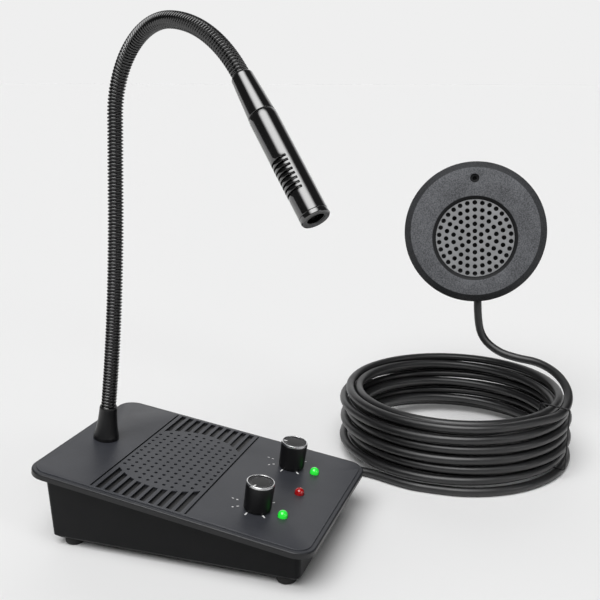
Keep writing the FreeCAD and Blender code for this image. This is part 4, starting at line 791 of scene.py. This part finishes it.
def make_tie():
    """A wire carried round the bundle: point = path(t) + r (cos(a) side + sin(a) across), where the path is
    a rectangle with rounded corners that leans a little as it goes."""
    inner, outer, low, high = 58.4, 77.0, 5.75, 44.6
    corners = np.array([[outer, (low + high) / 2], [outer, high], [inner, high], [inner, low], [outer, low],
                        [outer, (low + high) / 2]])
    path = rounded_outline(corners, 2.4, 8)[:-1]
    share = np.linspace(0, 1, len(path), endpoint=False)
    radial = np.array([math.cos(TIE_ANGLE), math.sin(TIE_ANGLE), 0.0])
    across = np.array([-math.sin(TIE_ANGLE), math.cos(TIE_ANGLE), 0.0])
    lean = 0.5 * np.sin(2 * math.pi * share * 2)
    middle = np.append(COIL_MIDDLE, 0.0)
    spine = middle + path[:, :1] * radial + path[:, 1:2] * np.array([0, 0, 1.0]) + lean[:, None] * across
    return add_piece("tie_wire", tube_along_loop("tie_wire", spine, across, 0.45), rubber_jacket(
        "tie coating", (0.010, 0.010, 0.011), 0.35), "console", ("cable_tie",))


def tube_along_loop(name, spine, side, radius, around=10):
    """A closed tube: ring point = spine + radius (cos(a) side + sin(a) (side x along))."""
    along = np.roll(spine, -1, axis=0) - np.roll(spine, 1, axis=0)
    along /= np.linalg.norm(along, axis=1, keepdims=True)
    first = side - along * (along @ side)[:, None]
    first /= np.linalg.norm(first, axis=1, keepdims=True)
    second = np.cross(along, first)
    a = np.linspace(0, 2 * math.pi, around, endpoint=False)
    rings = spine[:, None] + radius * (np.cos(a)[None, :, None] * first[:, None]
                                       + np.sin(a)[None, :, None] * second[:, None])
    return tidied(surface(name, rings * MM, loop=True))


def make_plug():
    """A turned plug: grip with shallow rings, then a strain relief whose ribs get smaller to the cable."""
    place = (np.array([LINE_PLACE[0], PLUG_FACE, LINE_PLACE[2]]), np.array([0, 0, 1.0]),
             np.array([1.0, 0, 0]), np.array([0, 1.0, 0]))
    grip = [(0, -11.0), (2.0, -11.0), (2.4, -10.4), (2.4, 0.0), (4.0, 0.0), (4.6, 0.6)]
    for ring in range(4):
        z = 2.2 + 1.5 * ring
        grip += [(4.6, z), (4.3, z + 0.3), (4.3, z + 0.8), (4.6, z + 1.1)]
    grip += [(4.6, 8.9), (4.0, 9.5), (3.6, 9.5)]
    for rib in range(3):
        z, r = 9.9 + 2.1 * rib, 3.55 - 0.14 * rib
        grip += [(r, z), (r, z + 0.9), (r - 0.55, z + 1.1), (r - 0.55, z + 1.9)]
    grip += [(2.75, 16.5), (0, 16.5)]
    plastic = moulded_plastic("plug plastic", (0.013, 0.013, 0.014), 0.45, 2200.0, 0.00002)
    return turned_piece("line_plug", grip, place, plastic, "console", ("cable_plug",),
                        rounding=0.16, steps=3, around=48, angle=32.0)


# Gooseneck

NECK_REAR = 16.0
BOOT_HEIGHT = 19.0
HEADING = math.radians(28.6)
STRETCHES = ((111.4, -8.6), (43.3, 0.0), (72.6, 94.6), (60.8, 44.9))
FLEX_STARTS = (0.0, 35.0, 150.0, 222.0)
FLEX_LENGTH = 7.0


class NeckPath:
    """The gooseneck's centreline. Its heading turns at a steady rate in each stretch, and its place is the
    running sum of the cosine and the sine of that heading."""

    def __init__(self):
        forward = np.array([-math.sin(HEADING), -math.cos(HEADING), 0.0])
        forward -= PLATE_N * (forward @ PLATE_N)
        self.forward = forward / np.linalg.norm(forward)
        self.side = np.cross(PLATE_N, self.forward)
        self.base = plate_place(0.0, NECK_REAR / math.cos(SLOPE), BOOT_HEIGHT)[0]
        lengths = np.cumsum([0.0] + [length for length, turn in STRETCHES])
        angles = np.cumsum([0.0] + [math.radians(turn) for length, turn in STRETCHES])
        self.length = lengths[-1]
        self.s = np.linspace(0.0, self.length, 6001)
        self.angle = np.interp(self.s, lengths, angles)
        step = np.diff(self.s)
        middle = (self.angle[1:] + self.angle[:-1]) / 2
        self.rise = np.concatenate([[0.0], np.cumsum(np.cos(middle) * step)])
        self.reach = np.concatenate([[0.0], np.cumsum(np.sin(middle) * step)])

    def at(self, s):
        """Places, directions and outward normals at distances from the boot's top."""
        s = np.atleast_1d(s)[:, None]
        rise, reach, angle = (np.interp(s, self.s, column) for column in (self.rise, self.reach, self.angle))
        place = self.base + rise * PLATE_N + reach * self.forward
        way = np.cos(angle) * PLATE_N + np.sin(angle) * self.forward
        return place, way, np.cross(way, self.side)


def wound_hose(path, start, end, settings, around=32):
    """Wound wire: radius = root + (crest - root) sqrt(1 - q^2) with q = (p - 1/2) / 0.36, or root where q is
    over 1. The phase p is the fraction of distance over pitch plus angle over a full turn. Both ends close on
    the centreline."""
    pitch, root, crest = settings.wire_pitch / MM, settings.root_radius / MM, settings.crest_radius / MM
    rows = max(4, round((end - start) / pitch * 12)) + 1
    s = np.linspace(start, end, rows)
    a = np.linspace(0, 2 * math.pi, around, endpoint=False)
    phase = (s[:, None] / pitch + a[None] / (2 * math.pi)) % 1.0
    radius = root + (crest - root) * np.sqrt(np.maximum(0, 1 - ((phase - 0.5) / 0.36) ** 2))
    radius = np.vstack([0 * radius[:1], radius, 0 * radius[:1]])
    place, way, outward = path.at(np.concatenate([[start], s, [end]]))
    rings = place[:, None] + radius[..., None] * (np.cos(a)[None, :, None] * path.side
                                                  + np.sin(a)[None, :, None] * outward[:, None])
    return rings * MM


def make_gooseneck(settings):
    path = NeckPath()
    lacquer = lacquered_steel("black lacquered wire", settings.lacquer)
    rigid = ("neck_lower", "neck_upper", "neck_crook", "neck_nose")
    flexing = ("neck_flex_base", "neck_flex_low", "neck_flex_middle", "neck_flex_top")
    ends = FLEX_STARTS[1:] + (path.length,)
    for flex, stretch, start, end in zip(flexing, rigid, FLEX_STARTS, ends):
        split = start + FLEX_LENGTH
        mesh = tidied(surface(stretch + "_hose", wound_hose(path, split, end, settings)))
        add_piece(stretch + "_hose", mesh, lacquer, body_of(stretch), (stretch,), 60.0)
        mesh = tidied(surface(flex + "_hose", wound_hose(path, start, split, settings)))
        piece = add_piece(flex + "_hose", mesh, lacquer, None, (flex,), 60.0)
        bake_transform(piece)


def make_boot(settings):
    """The boot is turned: a flat ring at its foot, then a flare whose radius falls as (1 - t)^1.9 with height
    up to a round lip at the hose."""
    t = np.linspace(0, 1, 14)
    flare = np.stack([4.8 + 1.85 * (1 - t) ** 1.9, 2.5 + 15.6 * t], -1)
    body = [(5.15, 0.0), (6.88, 0.0), (6.88, 1.95)] + flare.tolist()
    body += [(4.55, 19.0), (3.45, 19.0), (3.45, 2.15), (5.15, 2.15), (5.15, 0.0)]
    plastic = moulded_plastic("boot plastic", settings.boot, 0.34, 1900.0, 0.00001, specular=0.5)
    turned_piece("boot", body, plate_place(0.0, NECK_REAR / math.cos(SLOPE)), plastic, "console",
                 ("neck_boot",), rounding=0.35)


# Microphone

BARREL_START, BARREL_END = 21.3, 71.3
SLOT_COUNT, SLOTS_START, SLOT_SPAN = 8, 44.6, math.radians(106.0)


def head_place():
    path = NeckPath()
    place, way, outward = path.at([path.length])
    return place[0], path.side, outward[0], way[0]


def slotted_barrel(settings, place):
    """A turned tube on a grid of rows and angles, less the cells that lie in a slot: a slot's row lies
    between its two edges, and its column within half its span of either side."""
    start, end, radius = BARREL_START, BARREL_END, settings.radius / MM
    pitch, width, first, span = settings.slot_pitch / MM, settings.slot_width / MM, SLOTS_START, SLOT_SPAN
    edges = [z for index in range(SLOT_COUNT) for z in (first + index * pitch, first + index * pitch + width)]
    z = np.array([start, start + 0.25, start + 0.6] + list(np.linspace(24, 43, 6)) + edges
                 + [62.5, 65.0, 67.0, end - 2.4, end - 2.2, end - 0.4, end])
    r = np.interp(z, [start, start + 0.6, end - 2.4, end - 2.25, end - 2.2, end],
                  [radius - 0.25, radius, radius, radius - 0.08, radius, radius])
    around = 96
    points = turned(np.stack([r, z], -1), place, around)
    rows = (z[:-1] + z[1:]) / 2
    in_row = (((rows - first) % pitch) < width) & (rows > first)
    in_row &= rows < first + (SLOT_COUNT - 1) * pitch + width
    angle = (np.arange(around) + 0.5) * 2 * math.pi / around
    off = np.abs((angle + math.pi / 2) % math.pi - math.pi / 2)
    keep = ~(in_row[:, None] & (off < span / 2)[None])
    return tidied(surface("microphone_barrel", points, keep=keep), closed=False)


def make_microphone(settings):
    place = head_place()
    gloss = moulded_plastic("glossy black barrel", settings.plastic, 0.14, 900.0, 0.000002, variation=0.1,
                            coat=1.0, specular=1.0)
    cone = [(1.95, 0.05), (4.5, 0.0), (4.95, 0.5), (5.0, 2.0), (5.4, 9.0), (5.86, 17.6), (6.0, 20.4),
            (6.0, 20.85), (5.85, 21.0), (5.1, 21.0), (5.1, 23.9), (1.95, 23.9), (1.95, 0.05)]
    turned_piece("microphone_adapter", cone, place, gloss, "microphone", ("mic_adapter",),
                 rounding=0.3)
    barrel = add_piece("microphone_barrel", slotted_barrel(settings, place), gloss, "microphone",
                       ("mic_barrel",), 40.0)
    wall = barrel.modifiers.new("wall", "SOLIDIFY")
    wall.thickness = settings.wall
    wall.offset = -1.0
    softened(barrel, 0.00012, 2, 50.0)
    cap = [(3.7, 66.6), (5.05, 66.6), (5.05, 71.32), (6.25, 71.32), (6.25, 73.2), (5.85, 73.7),
           (5.75, 73.7), (5.75, 73.0), (3.7, 73.0), (3.7, 66.6)]
    turned_piece("microphone_cap", cap, place, gloss, "microphone", ("mic_end_ring",),
                 rounding=0.2)
    ring = [(3.7, 73.0), (5.75, 73.0), (5.75, 73.62), (4.15, 73.62), (3.7, 73.2), (3.7, 73.0)]
    turned_piece("microphone_face", ring, place, lathe_turned("turned end face", settings.face, 0.3, 0.6),
                 "microphone", rounding=0.1, steps=3)
    wire = plain_metal("dark mesh wire", (0.10, 0.10, 0.105), 0.35)
    add_piece("microphone_mesh", woven_disc(place, 68.9, 4.9), wire, "microphone",
              ("mic_mesh",), 60.0)


def woven_disc(place, level, radius):
    """A round patch of woven wire: height = 0.1 (cos(k x) + cos(k y)) on rings whose radius grows evenly,
    with a flat back of the same outline."""
    r = np.linspace(0, radius, 34)[:, None]
    a = np.linspace(0, 2 * math.pi, 96, endpoint=False)[None]
    x, y = r * np.cos(a), r * np.sin(a)
    k = 2 * math.pi / 0.9
    top = np.stack([x, y, level + 0.1 * (np.cos(k * x) + np.cos(k * y))], -1)
    back = np.stack([x, y, level - 0.35 + 0 * x], -1)[::-1]
    return tidied(surface("microphone_mesh", carried(np.concatenate([top, back]), place)))


# Knobs, marks and lamps

KNOB_X, KNOB_REAR, LED_REAR = 25.7, 115.9, 129.32


def make_knobs(settings):
    black = moulded_plastic("knob plastic", settings.plastic, 0.4, 1300.0, 0.000008, variation=0.15,
                            specular=0.4)
    bright = lathe_turned("bright knob rim", settings.rim, 0.16, 1.0, 0.0003)
    disc = lathe_turned("turned knob top", (0.05, 0.05, 0.053), 0.22, 0.85, 0.00009)
    white = moulded_plastic("pointer white", (0.72, 0.72, 0.72), 0.4, 1500.0, 0.000005, variation=0.04)
    base, top = settings.foot / MM, (settings.foot + settings.height) / MM
    low, high, rim = settings.base_radius / MM, settings.top_radius / MM, settings.rim_width / MM
    edge = high - 0.2
    for side, x, pointer in (("left", -KNOB_X, settings.left_pointer),
                             ("right", KNOB_X, settings.right_pointer)):
        place = plate_place(x, KNOB_REAR)
        body = side + "_control"
        outline = [(0, base + 3.6), (5.6, base + 3.6), (5.6, base), (low - 0.15, base), (low, base + 0.35),
                   (high, top - 2.2), (high, top - 1.25), (edge, top - 1.1), (edge - rim, top - 1.1),
                   (edge - rim, top - 0.35), (0, top - 0.35)]
        turned_piece(side + "_knob_body", outline, place, black, body, (side + "_knob",),
                     rounding=0.25, around=96)
        ring = [(edge, top - 1.1), (edge, top - 0.14), (edge - 0.12, top), (edge - rim + 0.1, top),
                (edge - rim, top - 0.12), (edge - rim, top - 1.1), (edge, top - 1.1)]
        turned_piece(side + "_bright_rim", ring, place, bright, body, (side + "_knob_rim",),
                     rounding=0.12, around=96, angle=50.0)
        t = np.linspace(0, 1, 22)
        dished = np.stack([(edge - rim - 0.02) * t, top - 0.30 - 0.10 * (1 - t ** 2)], -1)
        plate = np.vstack([dished, [[edge - rim - 0.02, top - 0.38], [0, top - 0.38 - 0.04]]])
        turned_piece(side + "_knob_top", plate, place, disc, body, around=96)
        mesh = bar_mesh(side + "_pointer", place, pointer, edge - rim - 2.5, edge - rim - 0.1, 0.42,
                        top - 0.34, 0.16)
        add_piece(side + "_pointer", mesh, white, body, (), 40.0)


def bar_mesh(name, place, angle, inner, outer, half, level, height):
    """A flat bar with a domed back on the plate: across it the height is h (1 - w^4), and its ends are round
    because the half width is the root of 1 - e^4 along it."""
    e = np.linspace(-1, 1, 9)[:, None]
    w = np.linspace(-1, 1, 7)[None]
    middle, reach = (inner + outer) / 2, (outer - inner) / 2
    along = middle + reach * e + 0 * w
    across = half * w * np.sqrt(1 - 0.75 * e ** 4)
    dome = level + height * (1 - w ** 4) * (1 - e ** 6)
    top = np.stack([along, across, dome], -1)
    under = np.stack([along, across, level - 0.05 + 0 * dome], -1)[::-1]
    c, s = math.sin(angle), math.cos(angle)
    local = np.concatenate([top, under])
    turned_local = np.stack([local[..., 0] * c + local[..., 1] * s, local[..., 0] * s - local[..., 1] * c,
                             local[..., 2]], -1)
    mesh = surface(name, carried(turned_local, place), ring=False, loop=True)
    return tidied(mesh)


MARKS = ((-7.4, 3.0, 2.6, 0.40), (-5.3, -5.4, 2.8, 0.42), (9.9, -5.1, 1.5, 0.45), (2.8, 11.8, 1.3, 0.30),
         (3.0, 14.3, 1.2, 0.30), (-2.9, 9.2, 1.3, 0.30), (-4.9, 11.1, 1.2, 0.30))
MARKS_MIDDLE = (1.8, 2.2)


def make_marks(settings):
    """Printed bars round each knob, two of them thick, which point away from the middle of their circle."""
    meshes = []
    for side in (-1, 1):
        origin = plate_place(side * KNOB_X, KNOB_REAR)[0]
        for x, y, length, half in MARKS:
            away_x, away_y = x - MARKS_MIDDLE[0], y - MARKS_MIDDLE[1]
            place = (origin + PLATE_X * x + PLATE_Y * y, PLATE_X, PLATE_Y, PLATE_N)
            meshes.append(bar_mesh("mark", place, math.atan2(away_x, away_y), -length / 2, length / 2, half,
                                   0.02, 0.03))
    white = moulded_plastic("printed marks", settings.print_colour, 0.55, 3000.0, 0.000004, variation=0.06)
    add_piece("dial_marks", joined("dial_marks", meshes), white, "console", (), 40.0)


def make_lamps(settings):
    """A lamp is turned: a straight wall, then a dome whose radius is the root of one minus height squared."""
    t = np.linspace(0, math.pi / 2, 14)
    dome = np.stack([2.5 * np.cos(t), 0.7 + 2.5 * np.sin(t)], -1)
    outline = np.vstack([[(0, -4.4), (2.9, -4.4), (2.9, -3.4), (2.5, -3.4)], dome])
    green = lamp_lens("lit green lamp", settings.green, (0.02, 0.9, 0.03), 0.5)
    # Painted glow: the red lamp is not lit, yet it gives off a faint light of strength 0.06.
    red = lamp_lens("unlit red lamp with painted glow", settings.red, settings.red, 0.06)
    lamps = [surface("lamp", turned(outline, plate_place(x, LED_REAR), 48)) for x in (-KNOB_X, KNOB_X)]
    mesh = tidied(joined("green_lamps", lamps))
    add_piece("green_lamps", mesh, green, "console", ("green_leds",), 50.0)
    turned_piece("red_lamp", outline, plate_place(0.0, LED_REAR), red, "console", ("red_led",),
                 around=48, angle=50.0)


FOOT_X, FOOT_Y = 37.0, 58.5


def make_feet():
    """Four turned rubber feet with a rounded rim and a shallow ring underneath."""
    outline = rounded_outline([(0, 0.3), (2.4, 0.3), (2.7, 0.0), (4.6, 0.0), (5.0, 0.5), (5.0, 4.0),
                               (1.9, 4.0), (1.9, 6.0), (0, 6.0)], 0.35, 4)
    axes = (np.array([1.0, 0, 0]), np.array([0, 1.0, 0]), np.array([0, 0, 1.0]))
    feet = [surface("foot", turned(outline, (np.array([x, y, 0.0]),) + axes, 40))
            for x in (-FOOT_X, FOOT_X) for y in (-FOOT_Y, FOOT_Y)]
    mesh = tidied(joined("round_feet", feet))
    rubber = rubber_jacket("foot rubber", (0.012, 0.012, 0.012), 0.7)
    add_piece("round_feet", mesh, rubber, "console", ("rubber_feet",), 40.0)


# Shells that keep the solids' own shape

def make_console_shells(settings):
    # Painted shade: the cover's colour darkens from 0.3 mm to 1 mm below the plate's face, in its grooves,
    # channels and holes.
    cover = moulded_plastic("charcoal cover plastic", settings.plastic, 0.42, 1500.0, settings.grain_depth,
                            variation=0.12, specular=0.5, dark=0.12,
                            shaded=lambda finish: finish.beneath(PLATE_MIDDLE, PLATE_N, 0.3, 1.0))
    # Painted shade: the case takes the charcoal plastic darkened for the shade on its sides.
    case = moulded_plastic("charcoal case plastic", settings.case_plastic, 0.5, 1500.0, settings.grain_depth,
                           variation=0.12, specular=0.15)
    dressed_copy("top_cover", cover, settings.edge_rounding)
    dressed_copy("bottom_case", case, settings.edge_rounding)


def rim_and_pocket_shade(finish):
    """Painted shade: up to 1 on the unit's bevelled rim and in its grille and microphone pockets, 0 on its
    face.
    """
    g = finish.g
    origin, right, up, facing = unit_place()
    rim = g.ramp(finish.round_axis(origin, facing), 41.5 * MM, 41.8 * MM, 0.0, 0.75)
    pocket = g.ramp(finish.round_axis(origin - up * GRILLE_DROP, facing), 27.8 * MM, 27.4 * MM)
    hole = g.ramp(finish.round_axis(origin + up * MIC_HOLE_PLACE, facing), 3.0 * MM, 2.8 * MM)
    return g.math("MAXIMUM", rim, g.math("MAXIMUM", pocket, hole))


def make_window_unit(settings):
    # Painted shade: the face's colour darkens on its bevelled rim and in its grille and microphone pockets.
    face = moulded_plastic("grained window unit plastic", settings.plastic, 0.55, 620.0, settings.grain_depth,
                           variation=0.42, coarse=0.8, specular=0.2, shaded=rim_and_pocket_shade, dark=0.12)
    back = moulded_plastic("window unit back plastic", lighter(settings.plastic, 0.35), 0.5, 1150.0, 0.00005,
                           variation=0.2)
    dressed_copy("window_bezel", face, settings.edge_rounding)
    dressed_copy("window_housing", back, settings.edge_rounding)
    grille = plain_metal("perforated grille metal", settings.grille, 0.42, metallic=0.35)
    dressed_copy("window_grille", grille, 0.00010)


def dress_fittings():
    """Materials for the solids that keep their own shape: rear fittings and the pieces inside."""
    black = moulded_plastic("socket plastic", (0.012, 0.012, 0.012), 0.4, 1800.0, 0.00002)
    red = moulded_plastic("switch red", (0.35, 0.012, 0.012), 0.3, 1500.0, 0.00001, variation=0.08)
    zinc = plain_metal("zinc plated steel", (0.56, 0.57, 0.6), 0.32)
    pressed = plain_metal("pressed steel", (0.4, 0.41, 0.43), 0.42)
    ferrite = plain_metal("sintered ferrite", (0.05, 0.05, 0.055), 0.7)
    pulp = paper_cone("black paper pulp", (0.008, 0.008, 0.008))
    board = laminate("green laminate", (0.012, 0.11, 0.035))
    part = moulded_plastic("component plastic", (0.02, 0.02, 0.022), 0.45, 1500.0, 0.00001)
    foam = rubber_jacket("pad foam", (0.02, 0.02, 0.02), 0.85)
    tin = plain_metal("capsule tin", (0.6, 0.61, 0.62), 0.3)
    for node, material, edge in (
            ("record_jack", black, 0.00015), ("power_socket", black, 0.00015),
            ("window_line_socket", black, 0.00015), ("switch_housing", black, 0.00015),
            ("switch_rocker", red, 0.0002), ("adhesive_pad", foam, 0.00015), ("window_grommet", foam, 0.0),
            ("window_screws", zinc, 0.0001), ("case_screws", zinc, 0.0001)):
        dressed_copy(node, material, edge)
    finishes = {
        zinc: ("small_screws", "pot_nuts", "neck_nut", "neck_ferrule", "left_pot_shaft", "right_pot_shaft"),
        pressed: ("console_speaker_basket",),
        ferrite: ("console_speaker_magnet", "window_speaker_magnet"),
        pulp: ("console_speaker_cone", "window_speaker_cone"),
        board: ("main_board", "control_board", "window_board"),
        # Painted shade: the window speaker's basket takes the dark component plastic, not pressed steel, so
        # the grille's outer holes look dark.
        part: ("board_components", "left_pot_body", "right_pot_body", "mic_capsule_holder",
               "window_speaker_basket", "window_mic_capsule"),
        tin: ("mic_capsule",),
    }
    for material, nodes in finishes.items():
        for node in nodes:
            for place in frame["nodes"][node].material_slots:
                place.material = material


# Operators

class INTERCOM_OT_stage(bpy.types.Operator):
    """Camera, studio light, pale floor and backdrop"""
    bl_idname = "intercom.stage"
    bl_label = "Stage"

    def execute(self, context):
        set_stage(context.scene.intercom_stage)
        return {"FINISHED"}


class INTERCOM_OT_cable(bpy.types.Operator):
    """Cable with its coil, tie and plug"""
    bl_idname = "intercom.cable"
    bl_label = "Cable"

    def execute(self, context):
        make_cable(context.scene.intercom_cable)
        return {"FINISHED"}


class INTERCOM_OT_shells(bpy.types.Operator):
    """Top cover and bottom case of the console"""
    bl_idname = "intercom.shells"
    bl_label = "Console Shells"

    def execute(self, context):
        make_console_shells(context.scene.intercom_console)
        return {"FINISHED"}


class INTERCOM_OT_feet(bpy.types.Operator):
    """Four rubber feet"""
    bl_idname = "intercom.feet"
    bl_label = "Feet"

    def execute(self, context):
        make_feet()
        return {"FINISHED"}


class INTERCOM_OT_knobs(bpy.types.Operator):
    """Two volume knobs with bright rims and pointers"""
    bl_idname = "intercom.knobs"
    bl_label = "Knobs"

    def execute(self, context):
        make_knobs(context.scene.intercom_knobs)
        return {"FINISHED"}


class INTERCOM_OT_marks(bpy.types.Operator):
    """Printed marks round the knobs"""
    bl_idname = "intercom.marks"
    bl_label = "Dial Marks"

    def execute(self, context):
        make_marks(context.scene.intercom_console)
        return {"FINISHED"}


class INTERCOM_OT_lamps(bpy.types.Operator):
    """Two green lamps and one red"""
    bl_idname = "intercom.lamps"
    bl_label = "Lamps"

    def execute(self, context):
        make_lamps(context.scene.intercom_console)
        return {"FINISHED"}


class INTERCOM_OT_boot(bpy.types.Operator):
    """The boot at the gooseneck's foot"""
    bl_idname = "intercom.boot"
    bl_label = "Boot"

    def execute(self, context):
        make_boot(context.scene.intercom_gooseneck)
        return {"FINISHED"}


class INTERCOM_OT_gooseneck(bpy.types.Operator):
    """The wound hose, stretch by stretch"""
    bl_idname = "intercom.gooseneck"
    bl_label = "Gooseneck"

    def execute(self, context):
        make_gooseneck(context.scene.intercom_gooseneck)
        return {"FINISHED"}


class INTERCOM_OT_microphone(bpy.types.Operator):
    """Adapter, slotted barrel, cap, face and mesh of the microphone"""
    bl_idname = "intercom.microphone"
    bl_label = "Microphone"

    def execute(self, context):
        make_microphone(context.scene.intercom_microphone)
        return {"FINISHED"}


class INTERCOM_OT_window_unit(bpy.types.Operator):
    """Front shell, rear shell and grille of the window unit"""
    bl_idname = "intercom.window_unit"
    bl_label = "Window Unit"

    def execute(self, context):
        make_window_unit(context.scene.intercom_window_unit)
        return {"FINISHED"}


class INTERCOM_OT_fittings(bpy.types.Operator):
    """Rear fittings and the pieces inside"""
    bl_idname = "intercom.fittings"
    bl_label = "Fittings"

    def execute(self, context):
        dress_fittings()
        return {"FINISHED"}


OPERATORS = (INTERCOM_OT_stage, INTERCOM_OT_cable, INTERCOM_OT_shells, INTERCOM_OT_feet, INTERCOM_OT_knobs,
             INTERCOM_OT_marks, INTERCOM_OT_lamps, INTERCOM_OT_boot, INTERCOM_OT_gooseneck,
             INTERCOM_OT_microphone, INTERCOM_OT_window_unit, INTERCOM_OT_fittings)


class INTERCOM_PT_panel(bpy.types.Panel):
    """Lists the operators and settings of the intercom."""
    bl_label = "Intercom"
    bl_space_type = "VIEW_3D"
    bl_region_type = "UI"
    bl_category = "Intercom"

    def draw(self, context):
        for kind in OPERATORS:
            self.layout.operator(kind.bl_idname)
        for name, kind in SETTINGS.items():
            box = self.layout.box()
            box.label(text=name.replace("intercom_", "").replace("_", " ").title())
            for key in kind.__annotations__:
                box.prop(getattr(context.scene, name), key)


CLASSES = tuple(SETTINGS.values()) + OPERATORS + (INTERCOM_PT_panel,)


def register():
    for kind in CLASSES:
        bpy.utils.register_class(kind)
    for name, kind in SETTINGS.items():
        setattr(bpy.types.Scene, name, PointerProperty(type=kind))


def unregister():
    for name in SETTINGS:
        delattr(bpy.types.Scene, name)
    for kind in reversed(CLASSES):
        bpy.utils.unregister_class(kind)


def main():
    register()
    for kind in OPERATORS:
        getattr(bpy.ops.intercom, kind.bl_idname.split(".")[1])()


if __name__ == "__main__":
    main()
